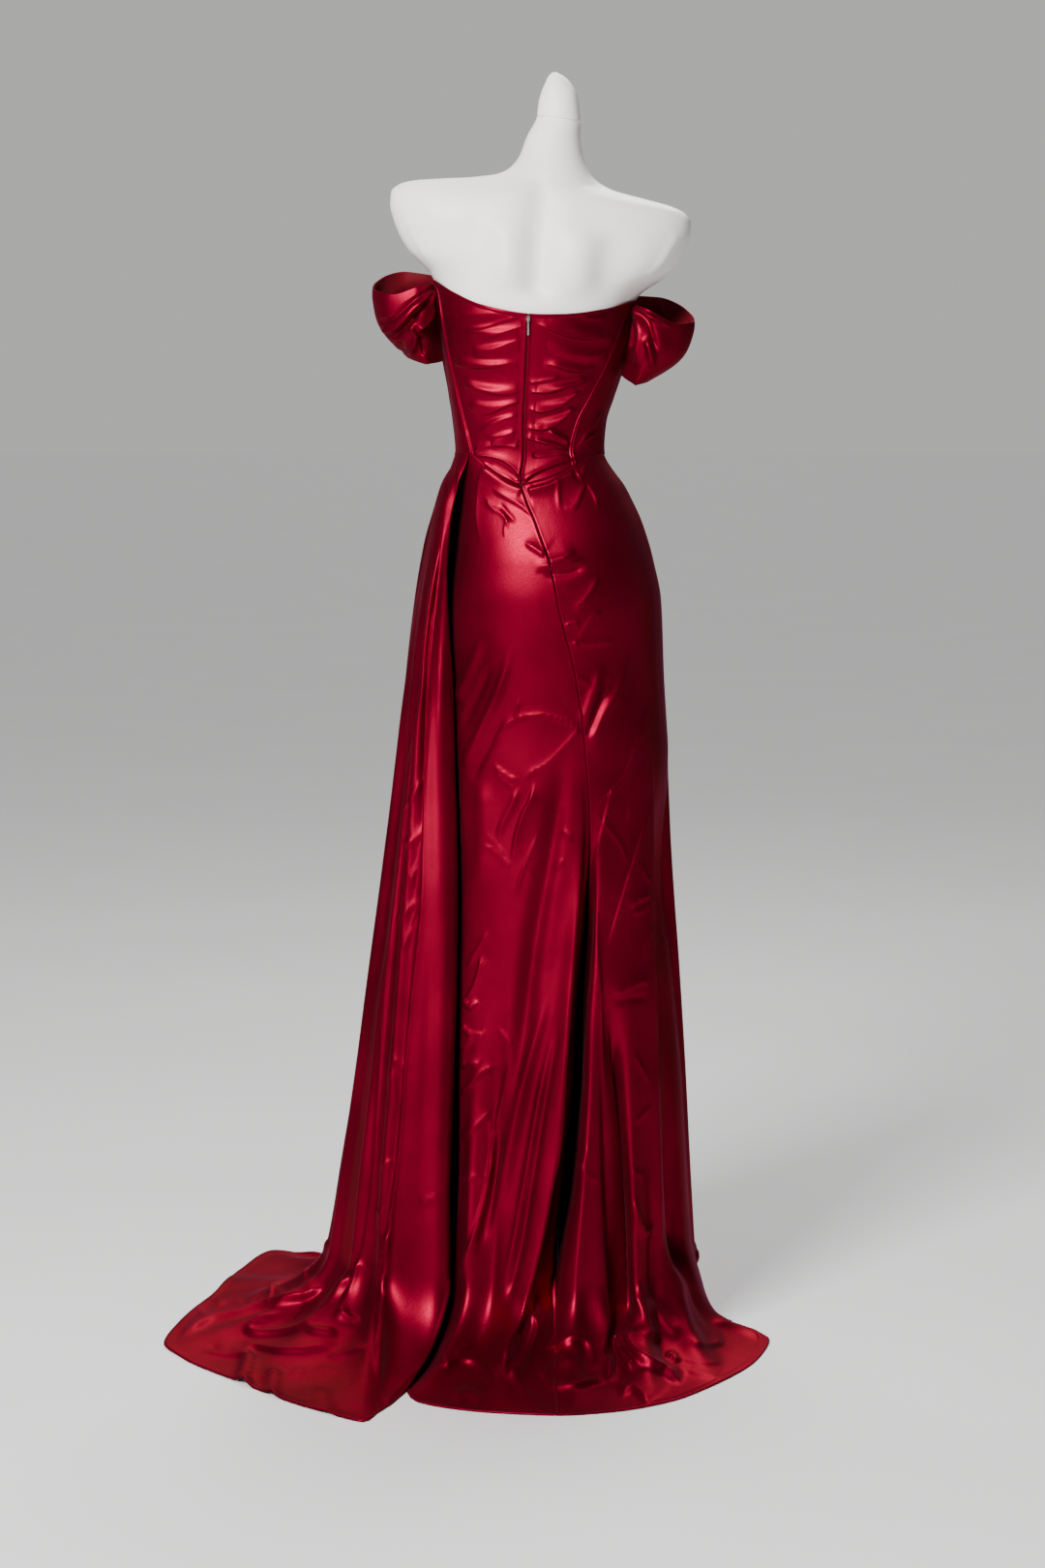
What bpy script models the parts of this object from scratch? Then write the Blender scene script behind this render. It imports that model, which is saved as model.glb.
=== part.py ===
"""Corset evening gown on a limbless dress form, standing on its round base.

Metres, +Z up. The gown's back faces +Y and the wearer's left side is +X. The
origin lies on the floor under the middle of the base plate.
"""
import math
from typing import NamedTuple

import bmesh
import bpy
import numpy as np
from mathutils import Matrix, Vector

SEAM = 0.0003
CLOTH = 0.0020
CLOTH_GAP = 0.0011
CLOTH_OUT = CLOTH + CLOTH_GAP
WAIST = 1.208
WAIST_V_ANGLE = 12.0
WAIST_V_DROP = 0.041
WAIST_V_BEND = 0.6
WAIST_CALM = 0.016
FRONT_EASE = 0.0025
SKIRT_EASE = 0.0050
HIP_EASE = 0.0020
SKIRT_ROWS = 22
FRONT_COLUMNS = 10
ROW_SPREAD = 1.75
FLOOR_SEAM_SPREAD = 12.0
FLARE_START = 0.115
ZIP_SLOT = 0.0036
ZIP_COIL_WIDTH = 0.0024
ZIP_COIL_THICK = 0.0014
ZIP_END = 1.064
SLIDER_WIDTH = 0.0048
SLIDER_HEIGHT = 0.0080
SLIDER_THICK = 0.0015
EAR_WIDTH = 0.0009
EAR_GAP = 0.0024
PULL_LENGTH = 0.021
PULL_WIDTH = 0.0028
PULL_THICK = 0.0011
PULL_PIVOT_HEIGHT = 1.385
PULL_PIVOT_OUT = 0.0032
KNUCKLE_RADIUS = 0.0008
KNUCKLE_WIDTH = 0.0018
SLEEVE_CENTRE = 0.025
SLEEVE_TILT = 0.10
SLEEVE_BACK_ANGLE = 78.0
SLEEVE_FRONT_ANGLE = 128.0
SLEEVE_PUFF = 0.015
SLEEVE_FAN = 12.0
SLEEVE_SEAT = CLOTH + 0.0006
BASE_RADIUS = 0.130
BASE_THICK = 0.012
POLE_RADIUS = 0.0125
FORM_BOTTOM = 0.80


class Section(NamedTuple):
    """One level outline: centre, half sizes, roundness and sideways tilt."""

    height: float
    centre_x: float
    centre_y: float
    half_width: float
    front: float
    back: float
    roundness: float
    tilt: float


class Fold(NamedTuple):
    """A ridge (+) or valley (-) that runs down a skirt between two heights."""

    angle_top: float
    angle_foot: float
    start: float
    depth: float
    width: float


class DragFold(NamedTuple):
    """A short crease across a bodice panel, from the first point to the last."""

    angle_a: float
    height_a: float
    angle_b: float
    height_b: float
    sag: float
    lift: float


FORM = (
    Section(0.800, 0.000, 0.004, 0.118, 0.080, 0.092, 2.1, 0.00),
    Section(0.900, 0.000, 0.004, 0.130, 0.086, 0.108, 2.1, 0.00),
    Section(0.960, 0.000, 0.002, 0.137, 0.090, 0.117, 2.1, 0.00),
    Section(1.010, 0.000, 0.000, 0.1390, 0.092, 0.120, 2.1, 0.00),
    Section(1.061, 0.001, 0.000, 0.1300, 0.092, 0.114, 2.1, 0.00),
    Section(1.114, 0.006, 0.000, 0.1175, 0.088, 0.095, 2.1, 0.00),
    Section(1.166, 0.017, 0.000, 0.1045, 0.083, 0.077, 2.1, 0.00),
    Section(1.190, 0.025, 0.000, 0.0985, 0.081, 0.072, 2.1, 0.01),
    Section(1.212, 0.030, 0.000, 0.0952, 0.080, 0.070, 2.1, 0.02),
    Section(1.255, 0.031, 0.000, 0.0988, 0.084, 0.074, 2.1, 0.05),
    Section(1.290, 0.029, 0.000, 0.1070, 0.094, 0.080, 2.1, 0.07),
    Section(1.325, 0.027, 0.000, 0.1160, 0.108, 0.086, 2.1, 0.08),
    Section(1.380, 0.025, 0.000, 0.1265, 0.122, 0.092, 2.1, 0.10),
    Section(1.410, 0.024, 0.000, 0.1290, 0.112, 0.094, 2.1, 0.10),
    Section(1.432, 0.023, 0.000, 0.1400, 0.104, 0.095, 2.1, 0.10),
    Section(1.460, 0.020, 0.000, 0.1720, 0.094, 0.094, 2.1, 0.10),
    Section(1.480, 0.018, 0.000, 0.1870, 0.086, 0.092, 2.1, 0.10),
    Section(1.500, 0.017, 0.001, 0.1960, 0.078, 0.088, 2.1, 0.10),
    Section(1.520, 0.016, 0.002, 0.2015, 0.069, 0.081, 2.1, 0.10),
    Section(1.536, 0.015, 0.004, 0.2010, 0.060, 0.073, 2.0, 0.10),
    Section(1.546, 0.014, 0.005, 0.1920, 0.054, 0.067, 1.9, 0.10),
    Section(1.553, 0.013, 0.006, 0.1740, 0.050, 0.062, 1.7, 0.10),
    Section(1.560, 0.012, 0.006, 0.1330, 0.047, 0.058, 1.5, 0.10),
    Section(1.566, 0.010, 0.005, 0.0940, 0.046, 0.055, 1.5, 0.10),
    Section(1.576, 0.006, 0.003, 0.0640, 0.045, 0.051, 1.8, 0.07),
    Section(1.590, 0.003, -0.001, 0.0500, 0.044, 0.047, 2.0, 0.03),
    Section(1.605, 0.001, -0.004, 0.0425, 0.042, 0.043, 2.0, 0.00),
    Section(1.630, -0.002, -0.009, 0.0360, 0.037, 0.037, 2.0, 0.00),
    Section(1.652, -0.009, -0.014, 0.0296, 0.031, 0.031, 2.0, 0.15),
    Section(1.670, -0.009, -0.017, 0.0278, 0.029, 0.029, 2.0, 0.10),
    Section(1.687, -0.0095, -0.020, 0.0245, 0.025, 0.026, 2.0, 0.06),
    Section(1.701, -0.008, -0.022, 0.0175, 0.018, 0.019, 2.0, 0.02),
    Section(1.710, -0.005, -0.023, 0.0105, 0.011, 0.012, 2.0, 0.00),
    Section(1.715, -0.003, -0.023, 0.0035, 0.004, 0.004, 2.0, 0.00),
)
NECK_RING = 1.652

SKIRT_LOWER = (
    Section(0.000, 0.000, 0.005, 0.208, 0.150, 0.215, 2.1, 0.00),
    Section(0.091, 0.000, 0.005, 0.201, 0.144, 0.200, 2.1, 0.00),
    Section(0.229, 0.000, 0.005, 0.1925, 0.136, 0.180, 2.1, 0.00),
    Section(0.365, 0.000, 0.004, 0.1850, 0.128, 0.162, 2.1, 0.00),
    Section(0.501, 0.000, 0.003, 0.1760, 0.120, 0.147, 2.1, 0.00),
    Section(0.596, 0.000, 0.002, 0.1687, 0.115, 0.138, 2.1, 0.00),
    Section(0.703, 0.000, 0.002, 0.1614, 0.110, 0.130, 2.1, 0.00),
    Section(0.797, 0.000, 0.001, 0.1556, 0.106, 0.125, 2.1, 0.00),
    Section(0.903, 0.000, 0.000, 0.1487, 0.102, 0.124, 2.1, 0.00),
    Section(1.009, 0.000, 0.000, 0.1440, 0.099, 0.126, 2.1, 0.00),
    Section(1.061, 0.001, 0.000, 0.1345, 0.097, 0.119, 2.1, 0.00),
    Section(1.114, 0.006, 0.000, 0.1235, 0.094, 0.1015, 2.1, 0.00),
)

DRAPE = (
    Section(0.000, 0.000, 0.005, 0.330, 0.235, 0.222, 2.0, 0.00),
    Section(0.039, 0.000, 0.005, 0.3200, 0.225, 0.218, 2.0, 0.00),
    Section(0.119, 0.000, 0.005, 0.3000, 0.205, 0.211, 2.0, 0.00),
    Section(0.229, 0.000, 0.005, 0.2820, 0.185, 0.203, 2.0, 0.00),
    Section(0.365, 0.000, 0.004, 0.2595, 0.168, 0.189, 2.0, 0.00),
    Section(0.501, 0.000, 0.003, 0.2400, 0.155, 0.174, 2.0, 0.00),
    Section(0.596, 0.000, 0.002, 0.2262, 0.146, 0.163, 2.0, 0.00),
    Section(0.676, 0.000, 0.002, 0.2150, 0.139, 0.154, 2.0, 0.00),
    Section(0.770, 0.000, 0.001, 0.2027, 0.131, 0.145, 2.0, 0.00),
    Section(0.877, 0.000, 0.000, 0.1917, 0.124, 0.139, 2.0, 0.00),
    Section(0.969, 0.000, 0.000, 0.1822, 0.118, 0.136, 2.0, 0.00),
    Section(1.048, 0.001, 0.000, 0.1704, 0.113, 0.128, 2.0, 0.00),
    Section(1.114, 0.006, 0.000, 0.1520, 0.106, 0.112, 2.0, 0.00),
    Section(1.166, 0.017, 0.000, 0.1290, 0.096, 0.093, 2.0, 0.00),
    Section(1.190, 0.025, 0.000, 0.1105, 0.089, 0.082, 2.1, 0.01),
    Section(1.212, 0.030, 0.000, 0.1010, 0.0855, 0.0755, 2.1, 0.02),
)

TOP_EDGE = (
    (-180, 1.400), (-150, 1.432), (-110, 1.418), (-80, 1.424), (-43, 1.408), (-16, 1.396),
    (5, 1.392), (31, 1.398), (54, 1.411), (80, 1.425), (110, 1.418), (150, 1.432), (180, 1.400),
)
BACK_SEAM = ((1.100, 7.0), (1.166, 12.0), (1.212, 4.5), (1.300, 3.6), (1.440, 2.6))
SEAM_LEFT = ((1.100, 50.0), (1.207, 52.0), (1.224, 55.0), (1.257, 61.0), (1.320, 67.0),
             (1.375, 70.0), (1.440, 82.0))
SEAM_RIGHT = ((1.100, -31.0), (1.210, -33.0), (1.243, -37.0), (1.283, -45.0), (1.335, -55.0),
              (1.380, -62.0), (1.440, -82.0))
SKIRT_SEAM = ((0.000, 0.0), (0.091, -0.5), (0.229, -6.0), (0.365, -10.6), (0.501, -13.3),
              (0.600, -16.0), (0.703, -17.5), (0.836, -14.8), (0.916, -10.8), (1.009, -2.4),
              (1.064, 1.0), (1.114, 6.6), (1.166, 12.0), (1.230, 12.0))
SIDE_LEFT = 95.0
SIDE_RIGHT = -92.0
FRONT_LEFT = 150.0
FRONT_RIGHT = -150.0

TUCK_EDGE = ((0.000, 40.0), (0.229, 39.0), (0.501, 44.0), (0.636, 46.0), (0.770, 52.0),
             (0.903, 62.0), (1.009, 68.0), (1.114, 70.0), (1.230, 70.0))
TUCK_DEPTH = ((0.000, 0.030), (0.500, 0.032), (0.780, 0.026), (0.860, 0.012), (0.960, 0.003),
              (1.050, 0.000), (1.230, 0.000))
DRAPE_EDGE = ((0.000, 28.0), (0.091, 28.5), (0.229, 31.5), (0.365, 33.8), (0.501, 36.0),
              (0.636, 39.2), (0.770, 44.4), (0.903, 48.5), (0.982, 52.0), (1.061, 54.0),
              (1.140, 54.5), (1.230, 56.0))
DRAPE_CURL = ((0.000, 0.000), (0.120, 0.016), (0.500, 0.022), (0.900, 0.020), (1.050, 0.010),
              (1.150, 0.002), (1.230, 0.000))
DRAPE_FRONT = 158.0

SKIRT_FOLDS = (
    Fold(-17.0, 13.5, 0.70, 0.011, 0.020),
    Fold(-22.5, -5.5, 0.76, 0.007, 0.008),
    Fold(-19.5, -24.0, 0.56, -0.016, 0.010),
    Fold(-31.0, -33.0, 0.50, 0.009, 0.014),
    Fold(-44.0, -43.0, 0.42, -0.009, 0.013),
    Fold(-58.0, -55.0, 0.60, 0.008, 0.018),
    Fold(-72.0, -70.0, 0.45, -0.008, 0.016),
    Fold(22.0, 24.0, 0.55, -0.010, 0.014),
    Fold(33.0, 32.0, 0.50, 0.008, 0.012),
    Fold(150.0, 150.0, 0.75, 0.010, 0.025),
    Fold(-150.0, -150.0, 0.75, 0.010, 0.025),
    Fold(180.0, 180.0, 0.60, -0.008, 0.025),
)
SEAM_VALLEY = ((0.000, 0.030), (0.091, 0.034), (0.229, 0.030), (0.365, 0.025), (0.501, 0.018),
               (0.600, 0.012), (0.703, 0.004), (0.800, 0.000), (1.230, 0.000))
SEAM_VALLEY_WIDTH = 0.011
DRAPE_FOLDS = (
    Fold(69.0, 47.0, 1.20, 0.010, 0.012),
    Fold(80.0, 60.0, 1.16, 0.009, 0.014),
    Fold(96.0, 78.0, 1.10, 0.010, 0.016),
    Fold(112.0, 98.0, 1.10, 0.009, 0.018),
    Fold(130.0, 124.0, 1.05, 0.010, 0.020),
)

HEM = (
    (-180, 0.000, -0.172), (-150, -0.118, -0.158), (-120, -0.192, -0.100),
    (-100, -0.224, -0.012), (-88, -0.268, 0.045), (-78, -0.298, 0.091), (-68, -0.276, 0.182),
    (-55, -0.216, 0.291), (-38, -0.146, 0.373), (-18, -0.072, 0.413), (0, -0.005, 0.426),
    (16, 0.089, 0.413), (30, 0.178, 0.366), (38, 0.190, 0.330), (60, 0.198, 0.190),
    (95, 0.226, 0.010), (130, 0.180, -0.115), (150, 0.120, -0.150), (180, 0.000, -0.172),
)
TRAIN_HEM = (
    (28, 0.208, 0.380), (38, 0.224, 0.416), (47, 0.243, 0.452), (54, 0.338, 0.373),
    (60, 0.408, 0.291), (70, 0.495, 0.182), (80, 0.530, 0.100), (102, 0.478, -0.160),
    (124, 0.413, -0.378), (142, 0.310, -0.315), (160, 0.150, -0.262),
)

SLEEVE_TOP = (
    (0.00, 0.128, 0.020, 1.424), (0.25, 0.158, 0.052, 1.412), (0.40, 0.191, 0.044, 1.400),
    (0.50, 0.2155, 0.004, 1.406), (0.65, 0.204, -0.045, 1.415), (0.80, 0.171, -0.072, 1.426),
    (1.00, 0.115, -0.070, 1.428),
)
SLEEVE_BOTTOM = (
    (0.00, 0.126, 0.024, 1.324), (0.25, 0.147, 0.042, 1.312), (0.50, 0.180, 0.008, 1.320),
    (0.75, 0.160, -0.046, 1.329), (1.00, 0.118, -0.064, 1.335),
)

LEFT_DRAGS = (
    DragFold(49.0, 1.377, 10.0, 1.392, 0.000, 0.0026),
    DragFold(44.0, 1.360, 8.0, 1.366, -0.002, 0.0034),
    DragFold(40.0, 1.336, 7.0, 1.350, -0.003, 0.0042),
    DragFold(58.0, 1.322, 8.0, 1.322, -0.002, 0.0038),
    DragFold(52.0, 1.298, 8.0, 1.292, -0.008, 0.0044),
    DragFold(48.0, 1.270, 8.0, 1.275, -0.006, 0.0040),
    DragFold(38.0, 1.236, 8.0, 1.257, 0.000, 0.0036),
    DragFold(30.0, 1.222, 10.0, 1.235, -0.002, 0.0028),
)
RIGHT_DRAGS = (
    DragFold(-8.0, 1.386, -58.0, 1.372, -0.006, 0.0028),
    DragFold(-8.0, 1.352, -52.0, 1.350, -0.008, 0.0040),
    DragFold(-6.0, 1.328, -38.0, 1.322, 0.000, 0.0026),
    DragFold(-4.0, 1.296, -44.0, 1.312, -0.006, 0.0044),
    DragFold(-4.0, 1.272, -40.0, 1.296, -0.006, 0.0040),
    DragFold(-4.0, 1.248, -38.0, 1.272, -0.006, 0.0040),
    DragFold(-10.0, 1.240, -30.0, 1.222, 0.002, 0.0030),
    DragFold(-4.0, 1.224, -28.0, 1.212, 0.000, 0.0028),
)
DRAG_WIDTH = 0.0075
RIPPLE_ANGLE = 5.0
RIPPLE_SCALE = 1.6

SATIN = (0.42, 0.004, 0.022, 1.0)
WHITE = (0.86, 0.86, 0.84, 1.0)
STEEL = (0.60, 0.60, 0.62, 1.0)


class Curve:
    """A smooth curve without overshoot through rows of (place, values...)."""

    def __init__(self, rows):
        table = np.array(rows, dtype=float)
        self.place = table[:, 0]
        self.value = table[:, 1:]
        step = np.diff(self.place)[:, None]
        slope = np.diff(self.value, axis=0) / step
        tangent = np.zeros_like(self.value)
        tangent[0], tangent[-1] = slope[0], slope[-1]
        before, after = slope[:-1], slope[1:]
        same = before * after > 0
        weight_a = 2 * step[1:] + step[:-1]
        weight_b = step[1:] + 2 * step[:-1]
        safe_before = np.where(same, before, 1.0)
        safe_after = np.where(same, after, 1.0)
        mean = (weight_a + weight_b) / (weight_a / safe_before + weight_b / safe_after)
        tangent[1:-1] = np.where(same, mean, 0.0)
        self.tangent = tangent

    def at(self, place):
        """The values at one place, held level beyond the ends."""
        place = min(max(place, self.place[0]), self.place[-1])
        index = int(np.searchsorted(self.place, place, side="right")) - 1
        index = min(max(index, 0), len(self.place) - 2)
        width = self.place[index + 1] - self.place[index]
        t = (place - self.place[index]) / width
        a, b = self.value[index], self.value[index + 1]
        ta, tb = self.tangent[index] * width, self.tangent[index + 1] * width
        return ((2 * t**3 - 3 * t**2 + 1) * a + (t**3 - 2 * t**2 + t) * ta
                + (3 * t**2 - 2 * t**3) * b + (t**3 - t**2) * tb)

    def one(self, place):
        """The first value at one place."""
        return float(self.at(place)[0])


FORM_CURVE = Curve(FORM)


def grown_form_row(height, swell):
    """A form section grown evenly by the depth of the cloth."""
    x, y, half, front, back, power, tilt = FORM_CURVE.at(height)
    return Section(height, x, y, half + swell, front + swell, back + swell, power, tilt)


SKIRT_CURVE = Curve(SKIRT_LOWER + tuple(
    grown_form_row(height, CLOTH_OUT + HIP_EASE * min(max((WAIST - height) / 0.042, 0.0), 1.0))
    for height in (1.150, 1.166, 1.178, 1.190, 1.201, 1.212, 1.230)))
DRAPE_CURVE = Curve(DRAPE)
TOP_CURVE = Curve(TOP_EDGE)
BACK_SEAM_CURVE = Curve(BACK_SEAM)
SEAM_LEFT_CURVE = Curve(SEAM_LEFT)
SEAM_RIGHT_CURVE = Curve(SEAM_RIGHT)
SKIRT_SEAM_CURVE = Curve(SKIRT_SEAM)
TUCK_EDGE_CURVE = Curve(TUCK_EDGE)
TUCK_DEPTH_CURVE = Curve(TUCK_DEPTH)
DRAPE_EDGE_CURVE = Curve(DRAPE_EDGE)
DRAPE_CURL_CURVE = Curve(DRAPE_CURL)
VALLEY_CURVE = Curve(SEAM_VALLEY)
HEM_CURVE = Curve(HEM)
TRAIN_CURVE = Curve(TRAIN_HEM)
SLEEVE_TOP_CURVE = Curve(SLEEVE_TOP)
SLEEVE_BOTTOM_CURVE = Curve(SLEEVE_BOTTOM)


def smooth(t):
    """A soft step from 0 to 1."""
    t = min(max(t, 0.0), 1.0)
    return t * t * (3 - 2 * t)


def bump(distance, width):
    """A rounded ridge of height 1."""
    return math.exp(-(distance / width) ** 2)


def section_point(curve, angle, height, swell=0.0):
    """A point of a level outline; angle 0 is the back, 90 the left side."""
    x, y, half, front, back, power, tilt = curve.at(height)
    sine, cosine = math.sin(math.radians(angle)), math.cos(math.radians(angle))
    depth = back if cosine >= 0 else front
    across = math.copysign(abs(sine) ** (2 / power), sine) * (half + swell)
    along = math.copysign(abs(cosine) ** (2 / power), cosine) * (depth + swell)
    return Vector((x + across, y + along, height + tilt * across))


def waist_height(angle):
    """Height of the waist seam, which dips in a V at the back."""
    reach = 46.0 if angle > WAIST_V_ANGLE else 74.0
    square = max(0.0, 1.0 - abs(angle - WAIST_V_ANGLE) / reach) ** 2
    return WAIST - WAIST_V_DROP * (1 + WAIST_V_BEND) * square / (square + WAIST_V_BEND)


def drag_lift(folds, angle, height):
    """How far the creases across a back panel lift its surface."""
    lift = 0.0
    for fold in folds:
        share = (angle - fold.angle_a) / (fold.angle_b - fold.angle_a)
        if 0.0 < share < 1.0:
            middle = fold.height_a + (fold.height_b - fold.height_a) * share
            middle += fold.sag * 4 * share * (1 - share)
            lift += fold.lift * math.sin(math.pi * share) ** 0.7 * bump(height - middle, DRAG_WIDTH)
    return lift * smooth((height - waist_height(angle)) / WAIST_CALM - 0.2)


def front_share(angle):
    """0 on the back half, rising to 1 across the front."""
    return smooth((abs(angle) - 75.0) / 30.0)


def front_ease(angle, height):
    """Extra room between form and cloth across the front."""
    return front_share(angle) * (FRONT_EASE + SKIRT_EASE * smooth((WAIST - height) / 0.06))


def bodice_point(angle, height):
    """The bodice's outer surface."""
    folds = LEFT_DRAGS if angle > BACK_SEAM_CURVE.one(height) else RIGHT_DRAGS
    swell = CLOTH_OUT + FRONT_EASE * front_share(angle) + drag_lift(folds, angle, height)
    return section_point(FORM_CURVE, angle, height, swell)


def fold_swell(folds, angle, height, radius):
    """The sum of the long folds at one place."""
    total = 0.0
    for fold in folds:
        share = smooth((fold.start - height) / 0.35)
        if share > 0:
            line = fold.angle_top + (fold.angle_foot - fold.angle_top) * (1 - height / fold.start)
            gap = (angle - line + 180) % 360 - 180
            total += fold.depth * share * bump(math.radians(gap) * radius, fold.width)
    return total


def skirt_swell(angle, height):
    """Folds, the deep valley along the back seam, and the tuck under the drape."""
    radius = SKIRT_CURVE.at(height)[2]
    total = fold_swell(SKIRT_FOLDS, angle, height, radius)
    gap = math.radians(angle - SKIRT_SEAM_CURVE.one(height)) * radius
    total -= VALLEY_CURVE.one(height) * bump(gap, SEAM_VALLEY_WIDTH)
    past = angle - TUCK_EDGE_CURVE.one(height)
    tuck = smooth(past / 9.0) * smooth((165.0 - angle) / 40.0)
    return total + front_ease(angle, height) - TUCK_DEPTH_CURVE.one(height) * tuck


def floor_ripple(folds, angle, share):
    """How high the ridges stand where a skirt lies on the floor."""
    total = 0.0
    for fold in folds:
        if fold.depth > 0:
            gap = (angle - fold.angle_foot + 180) % 360 - 180
            total += fold.depth * bump(gap, RIPPLE_ANGLE)
    return RIPPLE_SCALE * total * max(0.0, 4 * share * (1 - share)) ** 1.5


def fall_point(curve, hem_curve, folds, swell, angle, height):
    """A skirt's outer surface: it hangs, then turns and lies on the floor.

    Heights below zero run on along the floor and reach the hem at -1.
    """
    if height >= FLARE_START:
        return section_point(curve, angle, height, swell(angle, height))
    top = section_point(curve, angle, FLARE_START, swell(angle, FLARE_START))
    foot = section_point(curve, angle, 0.02, swell(angle, 0.02))
    foot.z = CLOTH
    hem_x, hem_y = hem_curve.at(angle)
    hem = Vector((hem_x, hem_y, CLOTH))
    t = (FLARE_START - height) / (FLARE_START + 1.0)
    low = top.lerp(foot, t)
    out = foot.lerp(hem, t)
    point = low.lerp(out, t)
    point.z += floor_ripple(folds, angle, t)
    return point


def skirt_point(angle, height):
    """The main skirt's outer surface."""
    return fall_point(SKIRT_CURVE, HEM_CURVE, SKIRT_FOLDS, skirt_swell, angle, height)


def drape_swell(angle, height):
    """Long folds of the side drape and the turned-in back edge."""
    radius = DRAPE_CURVE.at(height)[2]
    total = fold_swell(DRAPE_FOLDS, angle, height, radius)
    gap = math.radians(angle - DRAPE_EDGE_CURVE.one(height)) * radius
    curl = DRAPE_CURL_CURVE.one(height) * math.exp(-max(gap, 0.0) / 0.007)
    return total + front_ease(angle, height) - curl


def drape_point(angle, height):
    """The side drape's outer surface and its train."""
    return fall_point(DRAPE_CURVE, TRAIN_CURVE, DRAPE_FOLDS, drape_swell, angle, height)


def zip_line(height):
    """The angle of the zip, which runs on from the bodice into the skirt."""
    return BACK_SEAM_CURVE.one(height) if height > 1.166 else SKIRT_SEAM_CURVE.one(height)


def zip_point(angle, height):
    """The surface that carries the zip."""
    if height > waist_height(angle):
        return section_point(FORM_CURVE, angle, height, CLOTH_OUT)
    return skirt_point(angle, height)


def sleeve_point(side, u, v):
    """An off-shoulder sleeve's outer surface.

    u runs from the back edge round the outside to the front edge, and v from
    the open top down to the lower edge. Cone folds fan out of the back edge.
    """
    top = Vector(SLEEVE_TOP_CURVE.at(u))
    bottom = Vector(SLEEVE_BOTTOM_CURVE.at(u))
    point = top.lerp(bottom, v)
    out = Vector((math.sin(math.pi * u), math.cos(math.pi * u), -0.1))
    fan = math.atan2(v * 0.10, u * 0.24 + 0.004)
    reach = smooth((u * 2.4) ** 2 + v * v * 1.4) * smooth((1.0 - u) * 3.0)
    fold = 0.5 * SLEEVE_PUFF * reach * math.cos(fan * SLEEVE_FAN) * (0.35 + 0.65 * (1 - u))
    point += out * (SLEEVE_PUFF * math.sin(math.pi * v) * math.sin(math.pi * u) ** 0.5 + fold)
    place = Vector((SLEEVE_CENTRE + side * point.x, point.y, point.z + SLEEVE_TILT * side * point.x))
    for share, angle in ((u, SLEEVE_BACK_ANGLE), (1 - u, SLEEVE_FRONT_ANGLE)):
        near = 1.0 - smooth(share / 0.2)
        if near > 0:
            height = top.z + (bottom.z - top.z) * v
            swell = CLOTH_OUT + FRONT_EASE * front_share(angle) + SLEEVE_SEAT
            seat = section_point(FORM_CURVE, side * angle, height, swell)
            place = place.lerp(seat, near)
    return place


def normal_at(surface, angle, height):
    """The outward normal of a surface of angle and height."""
    turn, rise = 0.2, 0.0012
    across = surface(angle + turn, height) - surface(angle - turn, height)
    if height < FLARE_START:
        rise = 0.01
    up = surface(angle, height + rise) - surface(angle, height - rise)
    return up.cross(across).normalized()


def make_material(name, colour, roughness, metallic):
    """A plain material in the part's own colour."""
    material = bpy.data.materials.new(name)
    material.use_nodes = True
    shader = material.node_tree.nodes["Principled BSDF"]
    shader.inputs["Base Color"].default_value = colour
    shader.inputs["Roughness"].default_value = roughness
    shader.inputs["Metallic"].default_value = metallic
    material.diffuse_color = colour
    return material


def finish_object(name, bm, material, collection):
    """Turn a bmesh into a named object with its faces pointing out."""
    bmesh.ops.recalc_face_normals(bm, faces=bm.faces[:])
    mesh = bpy.data.meshes.new(name)
    bm.to_mesh(mesh)
    bm.free()
    mesh.materials.append(material)
    mesh.shade_smooth()
    mesh.set_sharp_from_angle(angle=math.radians(50))
    obj = bpy.data.objects.new(name, mesh)
    collection.objects.link(obj)
    return obj


def cloth_wall(name, columns, rows, place, surface, material, collection, thick=CLOTH, sink=0.0):
    """A cloth panel: an open grid laid on a surface and thickened inwards.

    place(u, v) gives the angle and height of a share across and up the panel.
    """
    bm = bmesh.new()
    bmesh.ops.create_grid(bm, x_segments=columns, y_segments=rows, size=0.5)
    grown = bmesh.ops.extrude_face_region(bm, geom=bm.faces[:])
    inner = {item for item in grown["geom"] if isinstance(item, bmesh.types.BMVert)}
    for vert in bm.verts:
        angle, height = place(vert.co.x + 0.5, vert.co.y + 0.5)
        point = surface(angle, height)
        depth = sink + (thick if vert in inner else 0.0)
        if depth:
            point = point - normal_at(surface, angle, height) * depth
        vert.co = point
    return finish_object(name, bm, material, collection)


def tube_solid(name, segments, levels, point, material, collection):
    """A closed solid lofted through level outlines, with flat ends."""
    bm = bmesh.new()
    bmesh.ops.create_cone(bm, cap_ends=True, segments=segments, radius1=1, radius2=1, depth=1)
    upright = [edge for edge in bm.edges if abs(edge.verts[0].co.z - edge.verts[1].co.z) > 0.5]
    bmesh.ops.subdivide_edges(bm, edges=upright, cuts=len(levels) - 2, use_grid_fill=True)
    for vert in bm.verts:
        angle = math.degrees(math.atan2(vert.co.x, vert.co.y))
        level = levels[round((vert.co.z + 0.5) * (len(levels) - 1))]
        vert.co = point(angle, level)
    return finish_object(name, bm, material, collection)


def spaced(lines, counts, u, height):
    """The angle at share u of a panel whose columns follow the fold lines."""
    total = sum(counts)
    place = u * total
    for index, count in enumerate(counts):
        if place <= count or index == len(counts) - 1:
            share = min(max(place / count, 0.0), 1.0)
            eased = 0.55 * share + 0.45 * (0.5 - 0.5 * math.cos(math.pi * share))
            return lines[index](height) + (lines[index + 1](height) - lines[index](height)) * eased
        place -= count
    return lines[-1](height)


def constant(angle):
    """A line at one angle at every height."""
    return lambda height: angle


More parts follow.
